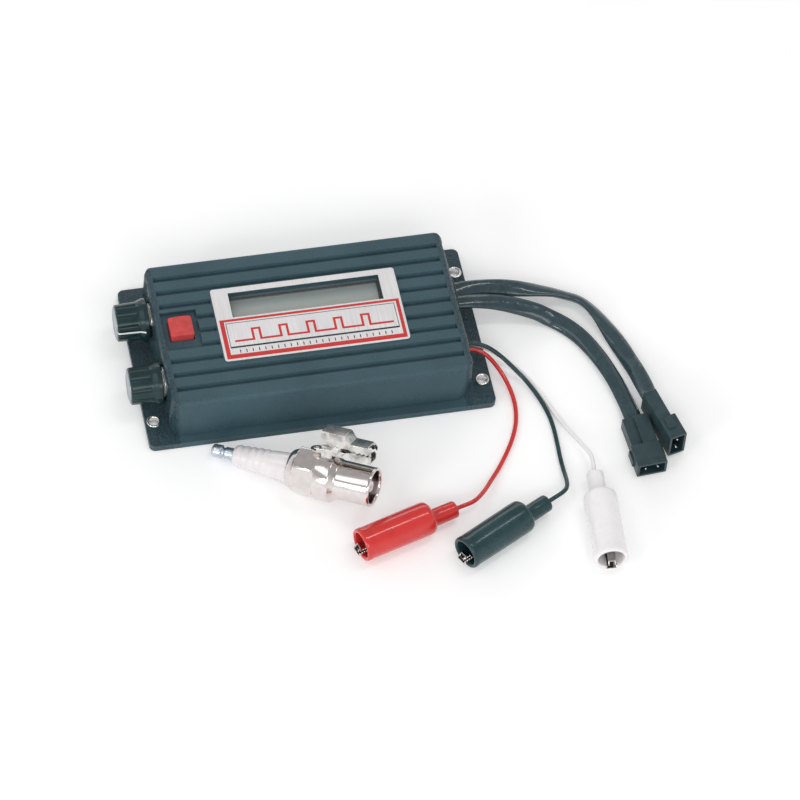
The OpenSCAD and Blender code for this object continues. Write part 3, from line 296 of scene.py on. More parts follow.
    def bump(self, *layers: tuple[Socket, float]) -> None:
        """Adds relief to the shader.

        Args:
            *layers: Heights from 0 to 1 with their depths in millimetres.
        """
        normal = None
        for height, depth in layers:
            made = self.node("ShaderNodeBump")
            made.inputs["Distance"].default_value = depth * MM
            self.link(height, made.inputs["Height"])
            if normal is not None:
                self.link(normal, made.inputs["Normal"])
            normal = made.outputs["Normal"]
        self.feed("Normal", normal)


@dataclass(frozen=True)
class Finish:
    """A surface finish, made into a material on first use."""

    name: str

    def material(self) -> bpy.types.Material:
        """Gives the finish as a material, which is wired once.

        Returns:
            The material.
        """
        found = bpy.data.materials.get(self.name)
        if found is None:
            wiring = Wiring(self.name)
            self.wire(wiring)
            found = wiring.material
        return found

    def wire(self, w: Wiring) -> None:
        """Wires the finish; each kind has its own."""
        raise NotImplementedError


@dataclass(frozen=True)
class WrinklePaint(Finish):
    """Baked wrinkle paint on a casting, glossier and more wrinkled at both ends."""

    deep: Colour
    light: Colour
    grain: float = 0.5
    wrinkle: float = 1.7
    gloss_from: float = 66.5
    gloss_full: float = 71.0
    dull: float = 0.56
    gloss: float = 0.44
    crest: float = 1.0
    grit: float = 0.07

    def wire(self, w: Wiring) -> None:
        """Wires grain, wrinkles and the glossy ends.

        Args:
            w: The material\'s wiring.
        """
        at = w.local()
        grain = w.noise(at, size=self.grain, detail=3.0)
        wrinkle = w.noise(at, size=self.wrinkle, detail=2.0, distortion=2.2)
        cloud = w.noise(at, size=26.0, detail=2.0)
        tone = w.blend(grain, cloud, 0.35)
        w.colours(tone, self.deep, self.light, 0.34, 0.66)
        end = w.remap(w.math("ABSOLUTE", w.axis(at, "X")), self.gloss_from, self.gloss_full)
        dull = w.math("MULTIPLY_ADD", end, -self.gloss)
        dull.node.inputs[2].default_value = self.dull
        w.feed("Roughness", w.math("ADD", dull, w.math("MULTIPLY", cloud, 0.08)))
        ridge = w.remap(wrinkle, 0.44, 0.56)
        relief = w.math("MULTIPLY", ridge, w.remap(end, 0.0, 1.0, to_low=0.04))
        w.bump((relief, self.crest), (grain, self.grit))


@dataclass(frozen=True)
class PlatedMetal(Finish):
    """Plated or bare metal with faint clouds and handling marks."""

    colour: Colour
    tarnish: Colour
    rough: float
    marks: float = 0.6
    relief: float = 0.01

    def wire(self, w: Wiring) -> None:
        """Wires the plating's clouds and its fine marks.

        Args:
            w: The material\'s wiring.
        """
        at = w.local()
        cloud = w.noise(at, size=4.0, detail=3.0, distortion=0.4)
        fine = w.noise(at, size=self.marks, detail=4.0)
        w.colours(cloud, self.tarnish, self.colour, end=0.6)
        w.dullness(fine, self.rough * 0.7, self.rough * 1.35, 0.25, 0.75)
        w.bump((fine, self.relief))
        w.fix(Metallic=1.0)


@dataclass(frozen=True)
class SpunMetal(Finish):
    """Metal disc with turning marks round an axis along X."""

    colour: Colour
    centre: Point
    rough: float = 0.3
    line: float = 0.22

    def wire(self, w: Wiring) -> None:
        """Wires rings round the axis.

        Args:
            w: The material\'s wiring.
        """
        at = w.local(self.centre)
        y, z = w.axis(at, "Y"), w.axis(at, "Z")
        radius = w.math("SQRT", w.math("ADD", w.math("MULTIPLY", y, y), w.math("MULTIPLY", z, z)))
        lines = w.rings(radius, self.line)
        low = tuple(c * 0.8 for c in self.colour)
        w.colours(lines, low, self.colour)
        w.dullness(lines, self.rough - 0.08, self.rough + 0.1, 0.2, 0.8)
        w.bump((lines, 0.02))
        w.fix(Metallic=1.0)


@dataclass(frozen=True)
class BrushedPlate(Finish):
    """Silver facia foil with brush lines across the plate."""

    colour: Colour
    shade: Colour
    stroke: float = 60.0

    def wire(self, w: Wiring) -> None:
        """Wires long thin brush lines.

        Args:
            w: The material\'s wiring.
        """
        lines = w.noise(w.local(stretch=(1.0, self.stroke, 1.0)), size=0.35, detail=4.0)
        cloud = w.noise(w.local(), size=18.0, detail=2.0)
        tone = w.blend(lines, cloud, 0.3)
        w.colours(tone, self.shade, self.colour, 0.35, 0.65)
        w.dullness(lines, 0.34, 0.5)
        w.bump((lines, 0.012))
        w.fix(Metallic=0.25)


@dataclass(frozen=True)
class MouldedPlastic(Finish):
    """Moulded plastic with a faint texture."""

    colour: Colour
    rough: float
    grain: float = 0.5
    relief: float = 0.02
    coat: float = 0.0
    gloss: float = 0.5

    def wire(self, w: Wiring) -> None:
        """Wires flow clouds and the mould's grain.

        Args:
            w: The material\'s wiring.
        """
        at = w.local()
        flow = w.noise(at, size=6.0, detail=3.0, distortion=0.8)
        grain = w.noise(at, size=self.grain, detail=2.0)
        low = tuple(c * 0.78 for c in self.colour)
        high = tuple(min(1.0, c * 1.14) for c in self.colour)
        w.colours(flow, low, high)
        w.dullness(flow, self.rough * 0.8, self.rough * 1.2, 0.25, 0.75)
        w.bump((grain, self.relief))
        w.fix(Coat_Weight=self.coat, Coat_Roughness=0.12, Specular_IOR_Level=self.gloss)


@dataclass(frozen=True)
class DippedVinyl(Finish):
    """Soft vinyl with slow ripples and a smooth wet gloss."""

    colour: Colour
    deep: Colour
    rough: float
    ripple: float = 9.0
    relief: float = 0.04
    coat: float = 0.4
    gloss: float = 0.3

    def wire(self, w: Wiring) -> None:
        """Wires the skin's ripples, scuffs and colour drift.

        Args:
            w: The material\'s wiring.
        """
        at = w.local()
        ripple = w.noise(at, size=self.ripple, detail=2.0, distortion=0.5)
        scuff = w.noise(at, size=1.6, detail=1.0)
        w.colours(ripple, self.deep, self.colour, end=0.62)
        w.dullness(scuff, self.rough * 0.9, self.rough * 1.2, end=0.75)
        w.bump((ripple, self.relief))
        w.fix(Coat_Weight=self.coat, Coat_Roughness=0.06, Specular_IOR_Level=self.gloss)


@dataclass(frozen=True)
class Glaze(Finish):
    """Glazed ceramic, white with a faint warm drift."""

    colour: Colour
    warm: Colour

    def wire(self, w: Wiring) -> None:
        """Wires the glaze's drift and its soft waves.

        Args:
            w: The material\'s wiring.
        """
        at = w.local()
        drift = w.noise(at, size=9.0, detail=2.0)
        wave = w.noise(at, size=2.6, detail=1.0)
        w.colours(drift, self.warm, self.colour, 0.32, 0.66)
        w.dullness(wave, 0.16, 0.28)
        w.bump((wave, 0.02))
        w.fix(Coat_Weight=0.6, Coat_Roughness=0.06)


@dataclass(frozen=True)
class DisplayPanel(Finish):
    """Blank liquid crystal panel, with painted shade that darkens it towards its rear edge,
    standing in for the shadow of the window's rear wall.
    """

    lit: Colour
    # colour of the painted shade at the rear edge, where the window's rear wall shades the panel
    painted_rear_shade: Colour
    front: float
    rear: float

    def wire(self, w: Wiring) -> None:
        """Wires painted shade from front to rear and the polariser's grain.

        Args:
            w: The material\'s wiring.
        """
        at = w.local()
        # painted shade: the base colour darkens from the front edge to the rear, standing in for
        # the shadow of the window's rear wall
        depth = w.remap(w.axis(at, "Y"), self.front, self.rear)
        grain = w.noise(at, size=0.4, detail=2.0)
        tone = w.math("ADD", depth, w.math("MULTIPLY", grain, 0.06))
        w.colours(tone, self.lit, self.painted_rear_shade, end=0.95)
        w.dullness(grain, 0.3, 0.42)
        w.bump((grain, 0.004))


@dataclass(frozen=True)
class ClearLens(Finish):
    """Thin clear window that only shows by its gloss."""

    tone: Colour
    alpha: float

    def wire(self, w: Wiring) -> None:
        """Wires faint wiping marks on a see-through sheet.

        Args:
            w: The material\'s wiring.
        """
        wipe = w.noise(w.local(stretch=(6.0, 1.0, 1.0)), size=3.0, detail=3.0)
        w.dullness(wipe, 0.03, 0.09)
        pale = tuple(min(1.0, c * 1.1) for c in self.tone)
        w.colours(wipe, self.tone, pale)
        w.fix(Alpha=self.alpha, IOR=1.49)


@dataclass(frozen=True)
class PrintInk(Finish):
    """Screen-printed ink."""

    colour: Colour

    def wire(self, w: Wiring) -> None:
        """Wires the ink's uneven cover.

        Args:
            w: The material\'s wiring.
        """
        cover = w.noise(w.local(), size=0.7, detail=3.0)
        thin = tuple(min(1.0, c * 1.2 + 0.01) for c in self.colour)
        w.colours(cover, self.colour, thin, 0.45, 0.85)
        w.dullness(cover, 0.4, 0.55)
        w.bump((cover, 0.006))


@dataclass(frozen=True)
class BoardLacquer(Finish):
    """Green circuit board with paler tracks under its lacquer."""

    mask: Colour
    track: Colour
    cells_per_mm: float = 0.16

    def wire(self, w: Wiring) -> None:
        """Wires square cells as tracks.

        Args:
            w: The material\'s wiring.
        """
        at = w.local()
        cells = w.node("ShaderNodeTexVoronoi", distance="CHEBYCHEV", feature="DISTANCE_TO_EDGE")
        cells.inputs["Scale"].default_value = self.cells_per_mm
        w.link(at, cells.inputs["Vector"])
        edge = cells.outputs["Distance"]
        w.colours(edge, self.track, self.mask, 0.05, 0.1)
        w.dullness(w.noise(at, size=5.0), 0.3, 0.45)
        w.bump((edge, 0.03))


CAST = WrinklePaint("cast_wrinkle_paint", (0.025, 0.061, 0.077), (0.047, 0.105, 0.131))
PLATE = WrinklePaint("bottom_plate_paint", (0.02, 0.026, 0.03), (0.05, 0.06, 0.066))
ZINC = PlatedMetal("zinc_plate", (0.62, 0.68, 0.76), (0.42, 0.47, 0.55), 0.3)
STEEL = PlatedMetal("bright_steel", (0.78, 0.78, 0.78), (0.6, 0.6, 0.6), 0.2)
NICKEL = PlatedMetal("nickel_plate", (0.77, 0.72, 0.7), (0.7, 0.65, 0.63), 0.14,
                     marks=0.5, relief=0.002)
EYELET = PlatedMetal("eyelet_plate", (0.95, 0.95, 0.94), (0.85, 0.85, 0.84), 0.14)
CLIP_NICKEL = PlatedMetal("clip_nickel", (0.74, 0.72, 0.69), (0.38, 0.37, 0.35), 0.13)
BUSH = PlatedMetal("bush_brass", (0.52, 0.44, 0.32), (0.32, 0.27, 0.2), 0.3)
FACE = BrushedPlate("silver_facia", (0.9, 0.88, 0.885), (0.74, 0.72, 0.725))
# the display's second, darker colour is painted shade from the window's rear wall, reached at its
# rear edge
DISPLAY = DisplayPanel("display_panel", (0.5, 0.54, 0.51), (0.2, 0.24, 0.23), 5.0, 19.0)
LENS = ClearLens("clear_window", (0.8, 0.86, 0.84), 0.06)
BLACK_PLASTIC = MouldedPlastic("display_holder_black", (0.02, 0.022, 0.024), 0.4)
BUTTON_RED = MouldedPlastic("button_red", (0.62, 0.066, 0.062), 0.36, grain=0.7, relief=0.015)
KNOB_BLACK = MouldedPlastic("knob_black", (0.011, 0.034, 0.038), 0.2, grain=0.9, relief=0.012,
                            coat=0.1, gloss=0.3)
CONNECTOR = MouldedPlastic("connector_black", (0.021, 0.05, 0.058), 0.42, grain=0.6, relief=0.03)
SWITCH = MouldedPlastic("switch_black", (0.02, 0.02, 0.022), 0.45)
PARTS = MouldedPlastic("board_part_black", (0.03, 0.032, 0.04), 0.4)
RUBBER = DippedVinyl("grommet_rubber", (0.03, 0.038, 0.042), (0.018, 0.024, 0.027), 0.5,
                     ripple=2.0, relief=0.05, coat=0.0, gloss=0.5)
SLEEVE = DippedVinyl("sleeve_vinyl", (0.03, 0.063, 0.076), (0.021, 0.047, 0.057), 0.2,
                     ripple=4.0, relief=0.3, coat=0.5, gloss=0.35)
RED_VINYL = DippedVinyl("red_dipped_vinyl", (0.66, 0.034, 0.031), (0.6, 0.027, 0.025), 0.22,
                        relief=0.025, coat=0.6)
BLACK_VINYL = DippedVinyl("black_dipped_vinyl", (0.017, 0.054, 0.061), (0.011, 0.039, 0.045),
                          0.26, coat=0.25)
WHITE_VINYL = DippedVinyl("white_dipped_vinyl", (0.93, 0.91, 0.915), (0.89, 0.865, 0.87), 0.3)
CERAMIC = Glaze("white_glaze", (0.83, 0.8, 0.81), (0.76, 0.71, 0.72))
BOARD = BoardLacquer("board_green", (0.012, 0.09, 0.035), (0.03, 0.16, 0.06))
INK_RED = PrintInk("print_red", (0.58, 0.028, 0.026))
INK_BLACK = PrintInk("print_black", (0.014, 0.016, 0.018))
INK_WHITE = PrintInk("print_white", (0.82, 0.82, 0.82))


def put_in_scene(name: str, data: bpy.types.ID) -> bpy.types.Object:
    """Makes an object and links it to the scene.

    Args:
        name: The object's name.
        data: Its mesh, lamp or camera.

    Returns:
        The new object.
    """
    made = bpy.data.objects.new(name, data)
    bpy.context.scene.collection.objects.link(made)
    return made


def paint(piece: bpy.types.Object, finish: Finish) -> None:
    """Gives a piece one finish and no other."""
    piece.data.materials.clear()
    piece.data.materials.append(finish.material())


def mesh_piece(name: str, points: Sequence[Point], faces: Sequence[Sequence[int]],
               smooth: bool = True) -> bpy.types.Object:
    """Makes an object from points in millimetres.

    Args:
        name: The object's name.
        points: Its points.
        faces: Its faces, as point numbers.
        smooth: Whether it shades smoothly.

    Returns:
        The new object, linked to the scene.
    """
    mesh = bpy.data.meshes.new(name)
    mesh.from_pydata([Vector(p) * MM for p in points], [], [list(f) for f in faces])
    for face in mesh.polygons:
        face.use_smooth = smooth
    return put_in_scene(name, mesh)


def face_outwards(piece: bpy.types.Object) -> bpy.types.Object:
    """Merges a closed mesh's doubles and turns its faces outwards.

    Args:
        piece: The piece, whose mesh is changed.

    Returns:
        The piece.
    """
    form = bmesh.new()
    form.from_mesh(piece.data)
    bmesh.ops.remove_doubles(form, verts=form.verts, dist=WELD)
    bmesh.ops.recalc_face_normals(form, faces=form.faces)
    form.to_mesh(piece.data)
    form.free()
    return piece


def rounded(profile: Sequence[Pair], radius: float, steps: int = 3) -> list[Pair]:
    """Rounds the corners of an open profile.

    Args:
        profile: Points as (along, radius) pairs.
        radius: How far from a corner the rounding starts at most.
        steps: Points on each rounding, less one.

    Returns:
        The rounded profile.
    """
    done = [profile[0]]
    for before, corner, after in zip(profile, profile[1:], profile[2:]):
        a, b, c = Vector(before), Vector(corner), Vector(after)
        reach = min(radius, (a - b).length * ROUND_SHARE, (c - b).length * ROUND_SHARE)
        first, last = b + (a - b).normalized() * reach, b + (c - b).normalized() * reach
        for i in range(steps + 1):
            t = i / steps
            done.append(tuple(first * (1 - t) ** 2 + b * 2 * t * (1 - t) + last * t * t))
    done.append(profile[-1])
    return done


def turned(name: str, rows: Sequence[tuple[float, ...]], place: Matrix, sides: int = 64,
           closed: bool = False) -> bpy.types.Object:
    """Makes a round piece from rows along its axis.

    Args:
        name: The object's name.
        rows: Rows of (along, radius) or (along, radius, lift), in millimetres.
        place: Where the axis goes: local X is along it and local Z is the lift.
        sides: Points round each row.
        closed: Whether the last row joins the first, as in a tube with a wall.

    Returns:
        The new object.
    """
    points: list[Point] = []
    starts: list[tuple[int, int]] = []
    for along, radius, *rest in rows:
        lift = rest[0] if rest else 0.0
        count = 1 if radius < ON_AXIS else sides
        starts.append((len(points), count))
        for k in range(count):
            angle = 2 * math.pi * k / count
            spot = (along, radius * math.cos(angle), lift + radius * math.sin(angle))
            points.append(tuple(place @ Vector(spot)))
    faces: list[tuple[int, ...]] = []
    pairs = list(zip(starts, starts[1:]))
    if closed:
        pairs.append((starts[-1], starts[0]))
    for (a, na), (b, nb) in pairs:
        for k in range(sides):
            m = (k + 1) % sides
            if na == 1 and nb > 1:
                faces.append((a, b + m, b + k))
            elif nb == 1 and na > 1:
                faces.append((a + k, a + m, b))
            elif na > 1:
                faces.append((a + k, a + m, b + m, b + k))
    return face_outwards(mesh_piece(name, points, faces))


def softened(node: str, width: float, segments: int) -> bpy.types.Object:
    """Copies a solid and rounds its sharp edges.

    Args:
        node: The solid's name.
        width: Width of the rounding, in millimetres.
        segments: Steps of the rounding.

    Returns:
        The copy, with its rounding as modifiers.
    """
    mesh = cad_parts[node].data.copy()
    form = bmesh.new()
    form.from_mesh(mesh)
    bmesh.ops.remove_doubles(form, verts=form.verts, dist=SOLID_WELD)
    bmesh.ops.dissolve_limit(form, angle_limit=math.radians(FLAT_ANGLE), verts=form.verts,
                             edges=form.edges)
    for face in form.faces:
        face.smooth = True
    form.to_mesh(mesh)
    form.free()
    if "custom_normal" in mesh.attributes:
        mesh.attributes.remove(mesh.attributes["custom_normal"])
    made = put_in_scene(f"{node}_made", mesh)
    edge = made.modifiers.new("edge_round", "BEVEL")
    edge.width, edge.segments = width * MM, segments
    edge.limit_method, edge.angle_limit = "ANGLE", math.radians(SHARP_ANGLE)
    edge.use_clamp_overlap = True
    even = made.modifiers.new("even_normals", "WEIGHTED_NORMAL")
    even.keep_sharp = False
    return made


def along_route(points: Sequence[Point], steps: int = 8) -> list[Point]:
    """Lays a smooth line through a route's points.

    Args:
        points: The route, in millimetres.
        steps: Points on each stretch.

    Returns:
        The points of the line.
    """
    ends = [Vector(p) for p in points]
    ends = [ends[0] * 2 - ends[1], *ends, ends[-1] * 2 - ends[-2]]
    line: list[Point] = []
    for a, b, c, d in zip(ends, ends[1:], ends[2:], ends[3:]):
        for i in range(steps):
            t = i / steps
            line.append(tuple(0.5 * (2 * b + (c - a) * t + (2 * a - 5 * b + 4 * c - d) * t * t
                                     + (3 * b - a - 3 * c + d) * t ** 3)))
    line.append(tuple(points[-1]))
    return line


class FormTree:
    """A Geometry Nodes tree with named inputs, run once to give a plain mesh."""

    def __init__(self, name: str) -> None:
        """Starts a tree.

        Args:
            name: The tree's name.
        """
        self.group = bpy.data.node_groups.new(name, "GeometryNodeTree")
        for way in ("INPUT", "OUTPUT"):
            self.group.interface.new_socket("Geometry", in_out=way,
                                            socket_type="NodeSocketGeometry")
        self.way_in = self.group.nodes.new("NodeGroupInput")
        self.way_out = self.group.nodes.new("NodeGroupOutput")

    def size(self, name: str, kind: str = "Float") -> Socket:
        """Adds a named input and gives its socket."""
        self.group.interface.new_socket(name, in_out="INPUT", socket_type=f"NodeSocket{kind}")
        return self.way_in.outputs[name]

    def node(self, kind: str, inputs: dict[str | int, object] | None = None,
             **settings: object) -> bpy.types.Node:
        """Adds a node.

        Args:
            kind: Blender's name of the node type.
            inputs: Sockets to join, or values to set, by input name or number.
            **settings: The node's own properties.

        Returns:
            The new node.
        """
        made = self.group.nodes.new(kind)
        for key, value in settings.items():
            setattr(made, key, value)
        for key, value in (inputs or {}).items():
            if isinstance(value, bpy.types.NodeSocket):
                self.group.links.new(value, made.inputs[key])
            else:
                made.inputs[key].default_value = value
        return made

    def math(self, operation: str, *values: Socket | float) -> Socket:
        """One arithmetic step on sockets or numbers."""
        return self.node("ShaderNodeMath", dict(enumerate(values)), operation=operation).outputs[0]

    def sweep(self, path: Socket, ring: Socket) -> Socket:
        """Sweeps a ring along a path and closes both ends."""
        return self.node("GeometryNodeCurveToMesh", {
            "Curve": path, "Profile Curve": ring, "Fill Caps": True}).outputs[0]

    def repeat_at(self, points: Socket) -> None:
        """Ends the tree in one copy of what enters it at each point."""
        self.close(self.node("GeometryNodeInstanceOnPoints", {
            "Points": points, "Instance": self.way_in.outputs["Geometry"]}).outputs[0])

    def close(self, geometry: Socket) -> None:
        """Ends the tree in plain geometry with its material.

        Args:
            geometry: What the tree gives.
        """
        real = self.node("GeometryNodeRealizeInstances", {"Geometry": geometry})
        shade = self.node("GeometryNodeSetShadeSmooth", {"Geometry": real.outputs[0]})
        skin = self.node("GeometryNodeSetMaterial", {
            "Geometry": shade.outputs[0], "Material": self.size("Finish", "Material")})
        self.group.links.new(skin.outputs[0], self.way_out.inputs[0])

    def run(self, name: str, carrier: bpy.types.Mesh, finish: Finish,
            **values: object) -> bpy.types.Object:
        """Runs the tree on a carrier mesh.

        Args:
            name: Name of the piece.
            carrier: Mesh that enters the tree.
            finish: The piece's finish.
            **values: Named inputs; an underscore stands for a space.

        Returns:
            The piece, as a plain mesh.
        """
        holder = put_in_scene(f"{name}_carrier", carrier)
        form = holder.modifiers.new("form", "NODES")
        form.node_group = self.group
        named = {key.replace("_", " "): value for key, value in values.items()}
        named["Finish"] = finish.material()
        for item in self.group.interface.items_tree:
            if item.in_out == "INPUT" and item.name in named:
                form[item.identifier] = named[item.name]
        bpy.context.view_layer.update()
        ready = holder.evaluated_get(bpy.context.evaluated_depsgraph_get())
        mesh = bpy.data.meshes.new_from_object(ready)
        bpy.data.objects.remove(holder)
        return put_in_scene(name, mesh)

    def run_on(self, name: str, seed: bpy.types.Object, finish: Finish,
               **values: object) -> bpy.types.Object:
        """Runs the tree on a seed piece and uses the seed up.

        Args:
            name: Name of the piece.
            seed: Piece that enters the tree.
            finish: The piece's finish.
            **values: Named inputs.

        Returns:
            The piece, as a plain mesh.
        """
        made = self.run(name, seed.data, finish, **values)
        bpy.data.objects.remove(seed)
        return made


def line_mesh(name: str, points: Sequence[Point]) -> bpy.types.Mesh:
    """Makes a mesh of one open line, as a carrier for a path.

    Args:
        name: The mesh's name.
        points: The line, in millimetres.

    Returns:
        The mesh.
    """
    mesh = bpy.data.meshes.new(name)
    edges = [(i, i + 1) for i in range(len(points) - 1)]
    mesh.from_pydata([Vector(p) * MM for p in points], edges, [])
    return mesh


def cable_form() -> FormTree:
    """Makes a tree that sweeps an oval, rolling section along a path.

    Returns:
        The tree.
    """
    tree = FormTree("cable_form")
    width, height, lean, swing, waves, phase = (
        tree.size(name) for name in ("Width", "Height", "Lean", "Swing", "Waves", "Phase"))
    sides = tree.size("Sides", "Int")
    line = tree.way_in.outputs["Geometry"]
    path = tree.node("GeometryNodeMeshToCurve", {"Mesh": line}).outputs[0]
    path = tree.node("GeometryNodeSetCurveNormal", {"Curve": path}, mode="Z_UP").outputs[0]
    share = tree.node("GeometryNodeSplineParameter").outputs["Factor"]
    turn = tree.math("SINE", tree.math("ADD", tree.math("MULTIPLY", share, waves), phase))
    tilt = tree.math("ADD", tree.math("MULTIPLY", turn, swing), lean)
    path = tree.node("GeometryNodeSetCurveTilt", {"Curve": path, "Tilt": tilt}).outputs[0]
    ring = tree.node("GeometryNodeCurvePrimitiveCircle", {
        "Resolution": sides, "Radius": 0.5}).outputs["Curve"]
    size = tree.node("ShaderNodeCombineXYZ", {"X": width, "Y": height, "Z": 1.0}).outputs[0]
    ring = tree.node("GeometryNodeTransform", {"Geometry": ring, "Scale": size}).outputs[0]
    tree.close(tree.sweep(path, ring))
    return tree


def coil_form() -> FormTree:
    """Makes a tree that winds a wire into a coil along Z, with its first end at the origin.

    Returns:
        The tree.
    """
    tree = FormTree("coil_form")
    radius, wire, height, turns = (
        tree.size(name) for name in ("Radius", "Wire", "Height", "Turns"))
    place, turn = tree.size("Place", "Vector"), tree.size("Turn", "Rotation")
    path = tree.node("GeometryNodeCurveSpiral", {
        "Resolution": 28, "Rotations": turns, "Start Radius": radius, "End Radius": radius,
        "Height": height}).outputs[0]
    ring = tree.node("GeometryNodeCurvePrimitiveCircle", {
        "Resolution": 10, "Radius": wire}).outputs["Curve"]
    put = tree.node("GeometryNodeTransform", {
        "Geometry": tree.sweep(path, ring), "Translation": place, "Rotation": turn})
    tree.close(put.outputs[0])
    return tree


def corner_form() -> FormTree:
    """Makes a tree that puts one fastener at the four corners of a rectangle.

    Returns:
        The tree.
    """
    tree = FormTree("corner_form")
    span_x, span_y = tree.size("Span X"), tree.size("Span Y")
    grid = tree.node("GeometryNodeMeshGrid", {
        "Size X": span_x, "Size Y": span_y, "Vertices X": 2, "Vertices Y": 2})
    tree.repeat_at(grid.outputs["Mesh"])
    return tree


def row_form() -> FormTree:
    """Makes a tree that repeats one piece along a straight row.

    Returns:
        The tree.
    """
    tree = FormTree("row_form")
    count = tree.size("Count", "Int")
    start, step = tree.size("Start", "Vector"), tree.size("Step", "Vector")
    row = tree.node("GeometryNodeMeshLine", {
        "Count": count, "Start Location": start, "Offset": step})
    tree.repeat_at(row.outputs["Mesh"])
    return tree


def wind_coil(name: str, tree: FormTree, place: Matrix, radius: float, wire: float,
              length: float, turns: float) -> bpy.types.Object:
    """Winds one coil of bright steel wire.

    Args:
        name: Name of the coil.
        tree: The coil form.
        place: Where its first end lies, with Z along the coil.
        radius: Radius of the wire's middle line, in millimetres.
        wire: Radius of the wire, in millimetres.
        length: From the first end to the last along Z, in millimetres.
        turns: Number of turns.

    Returns:
        The coil.
    """
    return tree.run(name, bpy.data.meshes.new("coil_seed"), STEEL, Radius=radius * MM,
                    Wire=wire * MM, Height=length * MM, Turns=turns,
                    Place=place.translation * MM, Turn=place.to_euler())


@dataclass
class Assembly:
    """A sub-assembly; it keeps the pieces that it has dressed."""

    made: list[str] = field(default_factory=list, init=False)

    def keep(self, piece: bpy.types.Object, finish: Finish, slot: Slot, *nodes: str,
             body: Body = Body.TESTER) -> bpy.types.Object:
        """Dresses a new piece and ties it to its body.

        Args:
            piece: The piece.
            finish: Its finish.
            slot: Record's slot for its finish; not used.
            *nodes: Solids that it stands for.
            body: Body that it rides on.

        Returns:
            The piece.
        """
        paint(piece, finish)
        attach(piece, body.value)
        if nodes:
            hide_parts(*nodes)
        self.made.append(piece.name)
        return piece

    def soften(self, node: str, width: float, finish: Finish, slot: Slot,
               body: Body = Body.TESTER, segments: int = 3) -> bpy.types.Object:
        """Puts a copy with rounded edges in a solid's place.

        Args:
            node: The solid's name.
            width: Width of the rounding, in millimetres.
            finish: The copy's finish.
            slot: Record's slot for its finish, passed on to keep, which does not use it.
            body: Body that it rides on.
            segments: Steps of the rounding.

        Returns:
            The copy.
        """
        return self.keep(softened(node, width, segments), finish, slot, node, body=body)

    def dress(self, node: str, finish: Finish, slot: Slot) -> None:
        """Gives a solid that stays its finish.

        Args:
            node: The solid's name.
            finish: Its finish.
            slot: Record's slot for its finish; not used.
        """
        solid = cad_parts[node]
        paint(solid, finish)
        self.made.append(node)

    def lay_cord(self, piece: bpy.types.Object, path: Sequence[Point], thick: float,
                 far_end: str, ends: list[bpy.types.Object]) -> None:
        """Declares a swept piece as a cord.

        Args:
            piece: The piece; not used.
            path: Its middle line, in millimetres; not used.
            thick: Its width, in millimetres; not used.
            far_end: What kind of thing it ends in; not used.
            ends: Pieces on its far end; not used.
        """

    def build(self) -> None:
        """Builds and dresses the sub-assembly; each kind has its own."""
        raise NotImplementedError


@dataclass(frozen=True)
class Lamp:
    """A soft lamp: its place and its size in metres, and its power in watts."""

    name: str
    place: Point
    size: Pair
    power: float


